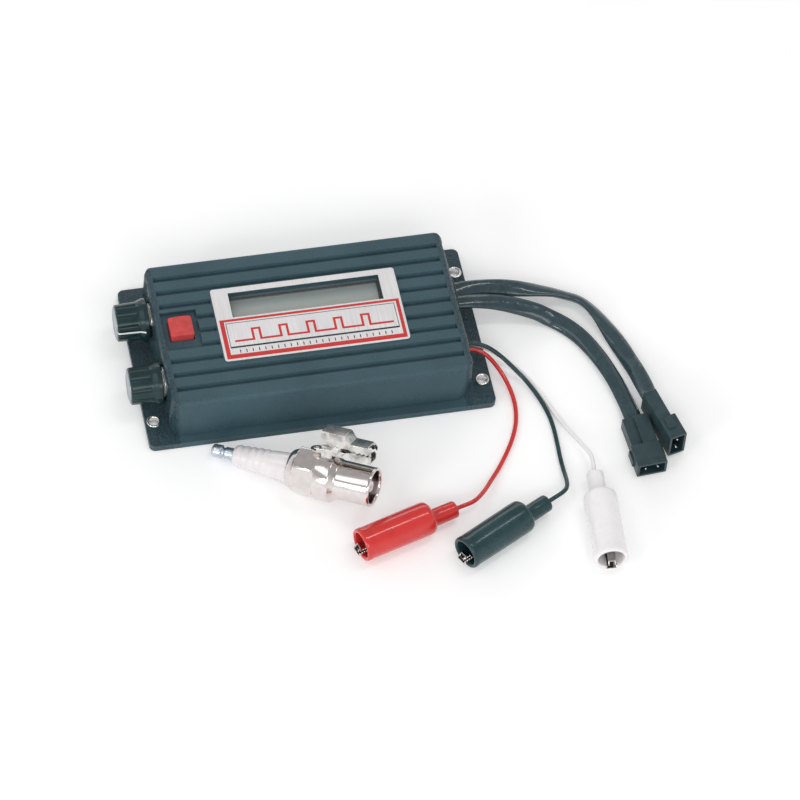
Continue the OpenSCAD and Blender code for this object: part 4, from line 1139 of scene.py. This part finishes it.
@dataclass
class Studio:
    """Pale floor, soft lamps and the camera at the photograph's angle."""

    side: float = 16.37
    height: float = 54.0
    roll: float = 5.98
    distance: float = 2500.0
    lens: float = 240.06
    sensor: float = 36.0
    target: Point = (37.719, -37.516, 3.5)
    floor_half: float = 6.0
    floor_glow: float = 0.2
    sky: tuple[Pair, ...] = ((0.0, 1.0), (0.3, 0.88), (0.62, 0.44), (1.0, 0.46))
    lamps: tuple[Lamp, ...] = (
        Lamp("key_softbox", (-0.1, -1.5, 1.15), (1.5, 0.6), 8.5),
        Lamp("overhead_strip", (0.6, 0.06, 1.68), (0.16, 0.7), 3.0),
        Lamp("upper_left_softbox", (-0.85, -0.06, 1.23), (1.15, 0.4), 1.9),
        Lamp("left_softbox", (-1.25, -0.9, 0.67), (0.35, 0.45), 4.5),
        Lamp("rear_strip", (0.1, 1.5, 0.75), (1.4, 0.25), 2.5))

    def build(self) -> None:
        """Sets the camera, the floor, the world and the lamps."""
        self.camera()
        self.floor()
        self.world()
        for lamp in self.lamps:
            self.hang(lamp)
        bpy.context.scene.view_settings.view_transform = "Standard"

    def camera(self) -> None:
        """Places the camera on its sight line, rolled as in the photograph."""
        a, e, r = (math.radians(v) for v in (self.side, self.height, self.roll))
        back = Vector((-math.sin(a) * math.cos(e), -math.cos(a) * math.cos(e), math.sin(e)))
        right = Vector((math.cos(a), -math.sin(a), 0.0))
        up = back.cross(right)
        across = right * math.cos(r) + up * math.sin(r)
        upward = up * math.cos(r) - right * math.sin(r)
        data = bpy.data.cameras.new("photo_camera")
        data.sensor_width, data.lens = self.sensor, self.lens
        made = put_in_scene("photo_camera", data)
        place = Matrix.Translation((Vector(self.target) + back * self.distance) * MM)
        made.matrix_world = place @ Matrix((across, upward, back)).transposed().to_4x4()
        bpy.context.scene.camera = made

    def floor(self) -> None:
        """Lays the pale floor."""
        half = self.floor_half / MM
        corners = [(-half, -half, 0), (half, -half, 0), (half, half, 0), (-half, half, 0)]
        made = mesh_piece("floor", corners, [(0, 1, 2, 3)])
        w = Wiring("pale_floor")
        paper = w.noise(w.local(), size=40.0, detail=2.0)
        w.colours(paper, (0.9, 0.9, 0.9), (0.92, 0.92, 0.92))
        ray = w.node("ShaderNodeLightPath").outputs
        seen = w.math("ADD", ray["Is Camera Ray"], ray["Is Glossy Ray"])
        seen = w.math("ADD", seen, ray["Is Transmission Ray"])
        w.feed("Emission Strength", w.math("MULTIPLY", seen, self.floor_glow))
        w.fix(Roughness=1.0, Specular_IOR_Level=0.0, Emission_Color=(1.0, 1.0, 1.0, 1.0))
        made.data.materials.append(w.material)

    def world(self) -> None:
        """Wires a soft room: bright low walls and a greyer ceiling."""
        world = bpy.data.worlds.new("soft_room")
        world.use_nodes = True
        bpy.context.scene.world = world
        nodes, links = world.node_tree.nodes, world.node_tree.links
        split = nodes.new("ShaderNodeSeparateXYZ")
        links.new(nodes.new("ShaderNodeTexCoord").outputs["Generated"], split.inputs[0])
        ramp = nodes.new("ShaderNodeValToRGB")
        steps = ramp.color_ramp.elements
        for at, _ in self.sky[1:-1]:
            steps.new(at)
        for step, (_, level) in zip(steps, self.sky):
            step.color = (level, level, level, 1.0)
        links.new(split.outputs["Z"], ramp.inputs["Fac"])
        links.new(ramp.outputs["Color"], nodes["Background"].inputs["Color"])

    def hang(self, lamp: Lamp) -> None:
        """Hangs one lamp and turns it to the object.

        Args:
            lamp: The lamp.
        """
        data = bpy.data.lights.new(lamp.name, "AREA")
        data.shape, data.energy = "RECTANGLE", lamp.power
        data.size, data.size_y = lamp.size
        made = put_in_scene(lamp.name, data)
        made.location = lamp.place
        sight = Vector(self.target) * MM - Vector(lamp.place)
        made.rotation_euler = sight.to_track_quat("-Z", "Y").to_euler()


@dataclass
class Harness(Assembly):
    """Two flat sleeved cables with their two-way connectors."""

    width: float = 8.4
    height: float = 4.2
    exit_x: float = 73.7
    exit_y: float = 11.0
    exit_z: float = 13.0
    gap: float = 6.4
    mouth_at: float = 18.0
    contact_gap: float = 6.0
    lay_z: float = 3.1
    rise: float = 2.2
    floor_gap: float = 0.1
    runs: dict[str, list[Point]] = field(default_factory=lambda: {
        "front": [(82, 7.4, 12.6), (93, 6.4, 10.6), (104, 4.2, 7.6), (114, 0.8, 4.8),
                  (122.5, -5, 3.4), (130, -14, 3.1), (136, -26.5, 3.1), (140.2, -40, 3.1),
                  (142.6, -52, 3.4), (143.6, -60, 4)],
        "rear": [(82, 14.4, 12.7), (94, 14.6, 11), (106, 14, 8.6), (117, 12.8, 6.2),
                 (126.5, 10.6, 4.4), (134, 6.5, 3.4), (139.5, -1, 3.1), (144, -11.5, 3.1),
                 (147.8, -24, 3.4), (150.6, -37, 4.8), (152.4, -49, 6.8)]})
    tails: dict[str, tuple[Point, float, float]] = field(default_factory=lambda: {
        "front": ((144, -66.5, 4.4), -86.0, 0.0), "rear": ((153.3, -58, 8.2), -77.0, -90.0)})
    rolls: dict[str, tuple[float, float, float, float]] = field(default_factory=lambda: {
        "front": (0.15, 0.3, 7.5, -1.2), "rear": (-0.15, -0.75, 9.0, -2.66)})

    def build(self) -> None:
        """Builds both cables with their connectors, and the grommet."""
        tree, row = cable_form(), row_form()
        for side, sign in (("front", -1), ("rear", 1)):
            plug = self.soften(f"{side}_harness_plug", 0.35, CONNECTOR, Slot.CONNECTOR)
            pins = self.contacts(side, row)
            self.cable(side, sign, tree, [plug, pins])
        self.soften("harness_grommet", 0.7, RUBBER, Slot.GROMMET)

    def cable(self, side: str, sign: int, tree: FormTree, ends: list[bpy.types.Object]) -> None:
        """Args:
            side: Which cable.
            sign: Which half of the grommet it leaves by.
            tree: The cable form.
            ends: Pieces on its far end.
        """
        start = (self.exit_x, self.exit_y + sign * self.gap / 2, self.exit_z)
        line = along_route([start, *self.runs[side], self.tails[side][0]])
        steps = ((Vector(b) - Vector(a)).length for a, b in zip(line, line[1:]))
        reach = [0.0, *accumulate(steps)]
        lean, swing, waves, phase = self.rolls[side]
        path = []
        for done, (x, y, z) in zip(reach, line):
            roll = lean + swing * math.sin(waves * done / reach[-1] + phase)
            half = self.floor_gap + math.hypot(self.width / 2 * math.sin(roll),
                                               self.height / 2 * math.cos(roll))
            high = min(1.0, max(0.0, (z - self.lay_z) / self.rise))
            high *= high * (3 - 2 * high)
            path.append((x, y, half + (max(z, half) - half) * high))
        made = tree.run(f"{side}_sleeve_flat", line_mesh(f"{side}_sleeve_line", path), SLEEVE,
                        Width=self.width * MM, Height=self.height * MM, Lean=lean, Swing=swing,
                        Waves=waves, Phase=phase, Sides=28)
        self.keep(made, SLEEVE, Slot.SLEEVE, f"{side}_sleeve")
        self.lay_cord(made, path, self.width, "connector", ends)

    def contacts(self, side: str, row: FormTree) -> bpy.types.Object:
        """Turns one pin and repeats it across the connector's mouth.

        Args:
            side: Which connector.
            row: The row form.

        Returns:
            Both pins as one piece.
        """
        tail, heading, roll = self.tails[side]
        turn = (Matrix.Rotation(math.radians(heading), 4, "Z")
                @ Matrix.Rotation(math.radians(roll), 4, "X"))
        tip = rounded([(0, 0.9), (8.8, 0.9), (10.4, 0.4), (10.4, 0.0)], 0.5)
        pin = turned(f"{side}_pin", [(0, 0), *tip[:-1], (10.4, 0)], turn, sides=24)
        across = turn @ Vector((0, 1, 0))
        mouth = Vector(tail) + turn @ Vector((self.mouth_at, 0, 0))
        made = row.run_on(f"{side}_contact_pins", pin, STEEL, Count=2,
                          Start=(mouth - across * self.contact_gap / 2) * MM,
                          Step=across * self.contact_gap * MM)
        return self.keep(made, STEEL, Slot.NICKEL, f"{side}_contacts")


@dataclass
class ClipLead:
    """One test lead: its colour, its route and where its boot lies."""

    name: str
    vinyl: Finish
    slot: Slot
    boot: Body
    jaw: Body
    start: Point
    run: list[Point]
    mouth: Pair
    heading: float


@dataclass
class TestLeads(Assembly):
    """Three thin leads that end in booted clips."""

    lead_d: float = 2.1
    boot_z: float = 8.1
    boot_r: float = 8.0
    bore_r: float = 6.0
    boot_l: float = 37.0
    neck_l: float = 13.0
    drop: float = 2.2
    straight: tuple[float, ...] = (59.5, 50.0, 37.0, 28.0)
    hinge: float = 15.0
    coil_r: float = 1.05
    coil_wire: float = 0.18
    coil_l: float = 1.7
    coil_turns: float = 3.5
    leads: list[ClipLead] = field(default_factory=lambda: [
        ClipLead("red", RED_VINYL, Slot.RED_VINYL, Body.RED_BOOT, Body.RED_JAW,
                 (73.7, -18.62, 10.055),
                 [(77, -18.6, 9.9), (82, -21.4, 8.4), (86, -26.5, 6), (89, -33, 3.7),
                  (90.8, -40.5, 2), (91, -48.5, 1.3), (89.4, -57, 1.2), (86, -65.5, 1.2),
                  (81.4, -73.5, 1.2), (76, -81.5, 1.4), (70.6, -88.6, 2.4), (65.5, -95.4, 4.2)],
                 (2.5, -118.5), 17.0),
        ClipLead("black", BLACK_VINYL, Slot.BLACK_VINYL, Body.BLACK_BOOT, Body.BLACK_JAW,
                 (73.7, -17, 12.62),
                 [(77, -17, 12.4), (83, -19, 11), (88.5, -23, 8.5), (94, -29, 5.5), (99, -36, 3),
                  (103, -45, 1.6), (105.4, -54, 1.2), (106.2, -63, 1.2), (106, -72, 1.2),
                  (105.6, -80, 1.3), (105.4, -87.5, 2), (105.2, -94.5, 3.6), (104.2, -99.2, 5)],
                 (49, -130.5), 28.0),
        ClipLead("white", WHITE_VINYL, Slot.WHITE_VINYL, Body.WHITE_BOOT, Body.WHITE_JAW,
                 (73.7, -15.38, 10.055),
                 [(77, -15.6, 9.9), (83, -17, 7.6), (90, -20.8, 4.2), (96, -26.6, 1.8),
                  (101.2, -35, 1.2), (105.6, -45.5, 1.2), (109, -56, 1.4), (112.4, -65.5, 2.3),
                  (115.4, -73, 3.6), (117.8, -80, 5.1)],
                 (115, -144.5), 86.0)])

    def build(self) -> None:
        """Builds the leads with their boots and clips, and the grommet."""
        tree, coil = cable_form(), coil_form()
        coils = []
        for lead in self.leads:
            ends = [self.keep(self.boot(lead), lead.vinyl, lead.slot, f"{lead.name}_boot",
                              body=lead.boot)]
            for half, body in (("lower", Body.TESTER), ("upper", lead.jaw)):
                ends.append(self.soften(f"{lead.name}_{half}_jaw", 0.12, CLIP_NICKEL, Slot.NICKEL,
                                        body, segments=2))
            self.lead(lead, tree, ends)
            coils.append(self.coil(lead, coil))
        self.keep(self.joined("lead_clip_coils", coils), STEEL, Slot.ZINC, "lead_clip_springs")
        self.dress("lead_clip_pins", STEEL, Slot.NICKEL)
        self.soften("lead_grommet", 0.7, RUBBER, Slot.GROMMET)

    def frame_of(self, lead: ClipLead) -> Matrix:
        """Where a boot lies, with X from its mouth to its neck."""
        return (Matrix.Translation((*lead.mouth, self.boot_z))
                @ Matrix.Rotation(math.radians(lead.heading), 4, "Z"))

    def boot(self, lead: ClipLead) -> bpy.types.Object:
        """Lofts one boot: rolled mouth, body, soft shoulder, dropped neck and bore.

        Args:
            lead: The lead that it belongs to.

        Returns:
            The boot.
        """
        r, b, d = self.boot_r, self.bore_r, -self.drop
        back, end = self.boot_l, self.boot_l + self.neck_l
        mouth = [(0.12, b + 0.45, 0), (0, b + 0.9, 0), (0.06, r - 0.55, 0), (0.3, r - 0.2, 0),
                 (0.75, r - 0.02, 0)]
        body = [(2.2, r, 0), (3.2, r - 0.16, 0), (8, r - 0.12, 0), (16, r - 0.06, 0),
                (26, r - 0.02, 0), (33.4, r, 0)]
        shoulder = [(34.6, r - 0.12, 0), (35.5, r - 0.5, 0), (36.2, r - 1.1, -0.1),
                    (36.8, r - 2.1, -0.7), (37.2, r - 3.1, -1.6), (37.8, 4.42, d + 0.1)]
        neck = [(38.6, 4.25, d), (42, 4.2, d), (end - 1.2, 4.14, d), (end - 0.5, 4.0, d),
                (end - 0.1, 3.6, d), (end, 3.1, d)]
        lead_bore = [(end, 1.75, d), (end - 0.3, 1.4, d), (end - 2, 1.35, d),
                     (back - 1, 1.35, d), (back - 2.7, 1.5, d)]
        clip_bore = [(back - 3, 2.4, d * 0.8), (back - 3, 5.2, 0), (back - 3.3, 5.8, 0),
                     (back - 4, b, 0), (20, b, 0), (8, b, 0), (1.2, b, 0), (0.45, b + 0.14, 0)]
        rows = mouth + body + shoulder + neck + lead_bore + clip_bore
        return turned(f"{lead.name}_boot_skin", rows, self.frame_of(lead), sides=72, closed=True)

    def lead(self, lead: ClipLead, tree: FormTree, ends: list[bpy.types.Object]) -> None:
        """Args:
            lead: The lead.
            tree: The cable form.
            ends: Pieces on its far end.
        """
        place = self.frame_of(lead)
        tail = [tuple(place @ Vector((s, 0, -self.drop))) for s in self.straight]
        path = along_route([lead.start, *lead.run, *tail])
        made = tree.run(f"{lead.name}_lead_wire", line_mesh(f"{lead.name}_lead_line", path),
                        lead.vinyl, Width=self.lead_d * MM, Height=self.lead_d * MM, Lean=0.0,
                        Swing=0.0, Waves=0.0, Phase=0.0, Sides=16)
        self.keep(made, lead.vinyl, lead.slot, f"{lead.name}_lead")
        self.lay_cord(made, path, self.lead_d, "fitting", ends)

    def coil(self, lead: ClipLead, tree: FormTree) -> bpy.types.Object:
        """Winds the small spring round a clip's hinge pin."""
        first_end = Matrix.Translation((self.hinge, -self.coil_l / 2, -self.drop))
        return wind_coil(f"{lead.name}_clip_coil", tree, self.frame_of(lead) @ first_end @ Z_TO_Y,
                         self.coil_r, self.coil_wire, self.coil_l, self.coil_turns)

    def joined(self, name: str, parts: list[bpy.types.Object]) -> bpy.types.Object:
        """Joins pieces of one body into one mesh.

        Args:
            name: Name of the new piece.
            parts: The pieces, which it uses up.

        Returns:
            The new piece.
        """
        form = bmesh.new()
        for part in parts:
            form.from_mesh(part.data)
            bpy.data.objects.remove(part)
        mesh = bpy.data.meshes.new(name)
        form.to_mesh(mesh)
        form.free()
        return put_in_scene(name, mesh)


@dataclass
class Box(Assembly):
    """Cast housing, bottom plate and the fasteners at its corners."""

    hole_dx: float = 156.8
    hole_dy: float = 63.6
    flange_t: float = 3.5

    def build(self) -> None:
        """Builds the housing, the plate and the corner sets."""
        self.soften("housing_shell", 0.5, CAST, Slot.CAST_PAINT)
        self.dress("base_plate", PLATE, Slot.PLATE_PAINT)
        self.dress("base_screws", ZINC, Slot.ZINC)
        self.eyelets()

    def eyelets(self) -> None:
        """Turns one rolled eyelet and sets it in the four holes."""
        top = self.flange_t
        profile = [(0, 2.1), (0, 2.6), (top, 2.6), (top, 3.25), (top + 0.32, 3.3),
                   (top + 0.6, 3.0), (top + 0.56, 2.45), (top + 0.1, 2.1), (0, 2.1)]
        rows = rounded(profile, 0.3, steps=4)
        upright = Matrix.Rotation(math.radians(-90), 4, "Y")
        seed = turned("eyelet_seed", rows[:-1], upright, sides=48, closed=True)
        made = corner_form().run_on("corner_eyelets", seed, EYELET, Span_X=self.hole_dx * MM,
                                    Span_Y=self.hole_dy * MM)
        self.keep(made, EYELET, Slot.NICKEL, "flange_eyelets")


@dataclass
class FacePlate(Assembly):
    """Silver facia with plain printed lines, and the display behind its window."""

    top: float = 27.6
    ink: float = 0.03
    sunk: float = 0.01
    area: Box4 = (-43.0, -20.0, 45.0, 4.6)
    frame_inset: Box4 = (1.2, 0.9, 1.2, 1.0)
    frame_bars: Box4 = (2.3, 1.3, 2.0, 1.6)
    rule_inset: Box4 = (2.6, 6.0, 2.6, 2.2)
    rule_bars: Box4 = (0.9, 0.28, 0.28, 0.28)
    trace_inset: Pair = (6.5, 6.0)
    trace_base: float = 10.2
    trace_peak: float = 17.4
    trace_w: float = 1.1
    pulses: int = 5
    pulse_pitch: float = 13.0
    pulse_w: float = 4.5
    ticks: int = 25
    tick_from: float = 8.0
    tick_pitch: float = 3.0
    tick_w: float = 0.44
    tick_rows: Pair = (3.9, 5.7)

    def build(self) -> None:
        """Builds the facia, its print and the display."""
        self.soften("label_plate", 0.2, FACE, Slot.FACE, segments=2)
        self.frame_lines()
        self.trace()
        self.scale()
        self.dress("lcd_window", LENS, Slot.LENS)
        self.dress("lcd_frame", BLACK_PLASTIC, Slot.BLACK_FRAME)
        self.dress("lcd_glass", DISPLAY, Slot.DISPLAY)

    def slabs(self, name: str, boxes: Sequence[Box4]) -> bpy.types.Object:
        """Makes thin slabs of ink that may touch each other.

        Args:
            name: The object's name.
            boxes: Rectangles as (x0, y0, x1, y1), in millimetres.

        Returns:
            The slabs as one object.
        """
        points: list[Point] = []
        faces: list[tuple[int, ...]] = []
        for x0, y0, x1, y1 in boxes:
            n = len(points)
            corners = ((x0, y0), (x1, y0), (x1, y1), (x0, y1))
            for z in (self.top - self.sunk, self.top + self.ink):
                points += [(x, y, z) for x, y in corners]
            faces += [(n + 3, n + 2, n + 1, n), (n + 4, n + 5, n + 6, n + 7)]
            for k in range(4):
                m = (k + 1) % 4
                faces.append((n + k, n + m, n + 4 + m, n + 4 + k))
        return mesh_piece(name, points, faces, smooth=False)

    def inset(self, box: Box4, by: Box4) -> Box4:
        """A rectangle inside another one, moved in from its left, front, right and rear."""
        return box[0] + by[0], box[1] + by[1], box[2] - by[2], box[3] - by[3]

    def border(self, box: Box4, bars: Box4) -> list[Box4]:
        """Splits a border inside a rectangle into four bars.

        Args:
            box: The rectangle.
            bars: Widths of the front, rear, left and right bar.

        Returns:
            The bars.
        """
        x0, y0, x1, y1 = box
        front, rear, left, right = bars
        return [(x0, y0, x1, y0 + front), (x0, y1 - rear, x1, y1),
                (x0, y0 + front, x0 + left, y1 - rear), (x1 - right, y0 + front, x1, y1 - rear)]

    def frame_lines(self) -> None:
        """Prints the red frame, the thin black line inside it and the black rule."""
        edge = self.inset(self.area, self.frame_inset)
        red = self.border(edge, self.frame_bars)
        self.keep(self.slabs("facia_red_frame", red), INK_RED, Slot.FACE)
        black = self.border(self.inset(edge, self.rule_inset), self.rule_bars)
        self.keep(self.slabs("facia_black_lines", black), INK_BLACK, Slot.FACE)

    def trace(self) -> None:
        """Prints a plain pulse trace in the frame."""
        left, low, right, _ = self.area
        line, base, peak = self.trace_w, low + self.trace_base, low + self.trace_peak
        boxes = []
        x = left + self.trace_inset[0]
        for _ in range(self.pulses):
            end = x + self.pulse_pitch
            rise = end - self.pulse_w
            boxes += [(x, base, rise, base + line), (rise, base, rise + line, peak),
                      (rise + line, peak - line, end - line, peak), (end - line, base, end, peak)]
            x = end
        boxes.append((x, base, right - self.trace_inset[1], base + line))
        self.keep(self.slabs("facia_pulse_trace", boxes), INK_RED, Slot.FACE)

    def scale(self) -> None:
        """Prints a row of plain ticks below the rule."""
        left, low, _, _ = self.area
        half, (front, rear) = self.tick_w / 2, self.tick_rows
        seed = self.slabs("tick_seed", [(-half, low + front, half, low + rear)])
        made = row_form().run_on("facia_scale_ticks", seed, INK_BLACK, Count=self.ticks,
                                 Start=Vector((left + self.tick_from, 0, 0)) * MM,
                                 Step=Vector((self.tick_pitch, 0, 0)) * MM)
        self.keep(made, INK_BLACK, Slot.FACE)


@dataclass
class Controls(Assembly):
    """Two fluted knobs on their controls at the box's left end."""

    back_x: float = -73.1
    knob_z: float = 15.3
    knob_y: float = 18.5
    index: dict[str, float] = field(default_factory=lambda: {"rear": -72.0, "front": 108.0})
    index_half: float = 0.42
    index_sunk: float = -0.1
    index_ink: float = 0.05
    cap_from: float = 14.5
    cap_face: float = 14.9
    index_run: tuple[Pair, ...] = (
        (14.98, 7.3), (14.98, 8.25), (14.4, 8.82), (4.5, 9.2), (3.1, 9.82), (2.0, 10.3))

    def build(self) -> None:
        """Builds both knobs with what holds them."""
        for side, sign, body in (("rear", 1, Body.REAR_CONTROL), ("front", -1, Body.FRONT_CONTROL)):
            y = sign * self.knob_y
            self.soften(f"{side}_knob", 0.3, KNOB_BLACK, Slot.BLACK_KNOB, body)
            cap = SpunMetal(f"{side}_cap_spun", (0.42, 0.47, 0.5), (0, y, self.knob_z), rough=0.34)
            self.soften(f"{side}_knob_cap", 0.12, cap, Slot.CAP, body, segments=2)
            self.index_line(side, y, body)
            self.dress(f"{side}_shaft", STEEL, Slot.ZINC)
            self.dress(f"{side}_control", ZINC, Slot.BUSH)
            self.soften(f"{side}_nut", 0.15, BUSH, Slot.BUSH, segments=2)
            self.soften(f"{side}_washer", 0.1, ZINC, Slot.ZINC, segments=2)

    def index_line(self, side: str, y: float, body: Body) -> None:
        """Paints the index line from the cap down a ridge to the skirt.

        Args:
            side: Which knob.
            y: The knob's axis.
            body: Body that it rides on.
        """
        angle = math.radians(self.index[side])
        out = Vector((0, math.sin(angle), math.cos(angle)))
        across = Vector((0, math.cos(angle), -math.sin(angle)))
        points: list[Point] = []
        for lift in (self.index_sunk, self.index_ink):
            for s, r in self.index_run:
                forward, outward = lift * (s > self.cap_from), lift * (s < self.cap_face)
                centre = Vector((self.back_x - s - forward, y, self.knob_z))
                for w in (-self.index_half, self.index_half):
                    points.append(tuple(centre + out * (r + outward) + across * w))
        m = len(self.index_run) * 2
        faces: list[tuple[int, ...]] = []
        for a in range(0, m - 2, 2):
            b = m + a
            faces += [(a, a + 2, a + 3, a + 1), (b, b + 1, b + 3, b + 2),
                      (a, b, b + 2, a + 2), (a + 1, a + 3, b + 3, b + 1)]
        faces += [(0, 1, m + 1, m), (m - 2, 2 * m - 2, 2 * m - 1, m - 1)]
        made = face_outwards(mesh_piece(f"{side}_knob_index", points, faces, smooth=False))
        self.keep(made, INK_WHITE, Slot.BLACK_KNOB, body=body)


@dataclass
class TestButton(Assembly):
    """Square push button with its return spring and switch."""

    centre: Pair = (-60.0, 2.5)
    spring_low: float = 16.1
    spring_high: float = 21.95
    travel: float = 1.5
    wire: float = 0.5
    radius: float = 2.85
    turns: float = 4.5

    def build(self) -> None:
        """Builds the button, the coil under it and the switch."""
        self.soften("test_button", 0.45, BUTTON_RED, Slot.RED_BUTTON, Body.BUTTON)
        length = self.spring_high - self.spring_low
        place = Matrix.Translation((*self.centre, self.spring_low + self.wire / 2))
        made = wind_coil("button_coil", coil_form(), place, self.radius, self.wire / 2,
                         length - self.wire, self.turns)
        self.keep(made, STEEL, Slot.ZINC, "button_spring")
        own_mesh(made)
        self.dress("button_switch", SWITCH, Slot.PARTS)


@dataclass
class Inside(Assembly):
    """Circuit board with its parts."""

    def build(self) -> None:
        """Dresses the board, its parts and its screws."""
        self.dress("main_board", BOARD, Slot.BOARD)
        self.dress("board_components", PARTS, Slot.PARTS)
        self.dress("board_screws", ZINC, Slot.ZINC)


@dataclass
class SparkPlug(Assembly):
    """Loose test plug: turned terminal, ribbed insulator, shell and ground clip."""

    place: Point = (-54.0, -51.5, 3.0116)
    turn: float = -32.0
    tilt: float = 9.901
    rib: float = 3.4
    ribs: int = 5
    rib_steps: int = 12
    rib_from: float = 11.6
    rib_r: float = 4.88
    rib_growth: float = 0.255
    rib_depth: float = 0.2
    hex_af: float = 20.8
    hex_from: float = 42.4
    hex_to: float = 53.6
    hex_floor: float = 10.3
    crisp: float = 32.0
    hinge: Point = (62.0, 0.0, 16.309)
    clip_roll: float = 30.0
    coil_r: float = 1.7
    coil_wire: float = 0.25
    coil_l: float = 4.6
    coil_turns: float = 3.0

    def axis(self) -> Matrix:
        """Where the plug lies, with X from its terminal to its mouth."""
        return (Matrix.Translation(self.place) @ Matrix.Rotation(math.radians(self.turn), 4, "Z")
                @ Matrix.Rotation(math.radians(-self.tilt), 4, "Y"))

    def build(self) -> None:
        """Builds the plug and its clip."""
        self.terminal()
        self.insulator()
        self.dress("plug_electrode", STEEL, Slot.ZINC)
        self.shell()
        for name, finish, body in (("base", CLIP_NICKEL, Body.TEST_PLUG),
                                   ("lever", CLIP_NICKEL, Body.PLUG_CLIP),
                                   ("pin", STEEL, Body.TEST_PLUG)):
            self.soften(f"plug_clip_{name}", 0.15, finish, Slot.NICKEL, body, segments=2)
        self.coil()

    def terminal(self) -> None:
        """Turns the terminal nut."""
        rows = rounded([(0, 0), (0, 2.3), (0.6, 3.0), (1.4, 3.2), (4.6, 3.2), (5.3, 2.2),
                        (6.2, 2.2), (6.7, 2.9), (11, 2.9), (11, 0)], 0.35)
        made = turned("plug_terminal_turned", rows, self.axis())
        self.keep(made, ZINC, Slot.ZINC, "plug_terminal", body=Body.TEST_PLUG)

    def insulator(self) -> None:
        """Turns the insulator: ribs, smooth stretch and the nose in the mouth."""
        rows = [(11.0, 1.3), (11.0, 3.4), (11.12, 3.9), (11.4, 4.4)]
        for i in range(1, self.ribs * self.rib_steps):
            turn = i / self.rib_steps
            rows.append((self.rib_from + turn * self.rib, self.rib_r + self.rib_growth * turn
                         - self.rib_depth * math.cos(2 * math.pi * turn)))
        rows += rounded([(28.7, 6.0), (29.2, 6.16), (30.2, 6.3), (39.0, 7.06), (42.5, 7.1),
                         (42.5, 3.55), (68.0, 3.5), (73.4, 3.2), (78.9, 2.8), (79.4, 2.3),
                         (79.4, 1.3)], 0.4)
        made = turned("plug_insulator_glazed", rows, self.axis(), sides=80, closed=True)
        self.keep(made, CERAMIC, Slot.CERAMIC, "plug_insulator", body=Body.TEST_PLUG)

    def shell(self) -> None:
        """Turns the shell and cuts the hex on it: dome, hex, collar, cone and open barrel."""
        dome = [(39.0, 7.15), (39.0, 7.85), (39.15, 8.3), (39.5, 8.75), (40.2, 9.2),
                (41.2, 9.65), (42.5, 10.05)]
        corners = [(42.5, 10.2), (42.9, 10.75), (43.3, 11.3), (43.6, 11.7), (43.85, 11.94),
                   (53.1, 11.94), (53.3, 11.8), (53.5, 11.5)]
        collar = [(53.5, 11.3), (53.75, 11.5), (54.1, 11.6), (60.6, 11.6), (60.95, 11.6),
                  (61.2, 11.54), (61.38, 11.4)]
        cone = [(61.6, 11.2), (63.35, 9.72), (63.6, 9.54), (63.9, 9.44)]
        barrel = [(64.3, 9.4), (79.7, 9.4), (80.1, 9.4), (80.55, 9.28), (80.85, 9.05),
                  (81.0, 8.75), (80.95, 8.3), (80.7, 7.95), (80.2, 7.75), (79.4, 7.7)]
        bore = [(68.0, 7.7), (66.0, 5.7), (66.0, 3.65), (42.6, 3.65), (42.6, 7.15)]
        rows = dome + corners + collar + cone + barrel + bore
        made = turned("plug_shell_turned", rows, Matrix(), sides=120, closed=True)
        place = self.axis()
        for point in made.data.vertices:
            along, y, z = point.co / MM
            radius = math.hypot(y, z)
            if self.hex_from < along < self.hex_to and radius > self.hex_floor:
                flat = math.radians(math.degrees(math.atan2(z, y)) % 60 - 30)
                share = min(1.0, self.hex_af / 2 / math.cos(flat) / radius)
                y, z = y * share, z * share
            point.co = (place @ Vector((along, y, z))) * MM
        made.data.set_sharp_from_angle(angle=math.radians(self.crisp))
        self.keep(made, NICKEL, Slot.NICKEL, "plug_shell", body=Body.TEST_PLUG)

    def coil(self) -> None:
        """Winds the ground clip's spring round its pin."""
        roll = Matrix.Rotation(math.radians(-self.clip_roll), 4, "X")
        first_end = Matrix.Translation(Vector(self.hinge) - Vector((0, self.coil_l / 2, 0)))
        made = wind_coil("plug_clip_coil", coil_form(), self.axis() @ roll @ first_end @ Z_TO_Y,
                         self.coil_r, self.coil_wire, self.coil_l, self.coil_turns)
        self.keep(made, STEEL, Slot.ZINC, "plug_clip_spring", body=Body.TEST_PLUG)


def main() -> None:
    """Builds the studio and the sub-assemblies in order and reports each piece."""
    logging.basicConfig(level=logging.INFO, format="%(name)s: %(message)s")
    Studio().build()
    for assembly in (Harness(), TestLeads(), Box(), FacePlate(), Controls(), TestButton(),
                     Inside(), SparkPlug()):
        assembly.build()
        for name in assembly.made:
            log.info("%s: %s", type(assembly).__name__, name)
    bpy.context.view_layer.update()


if __name__ == "__main__":
    main()
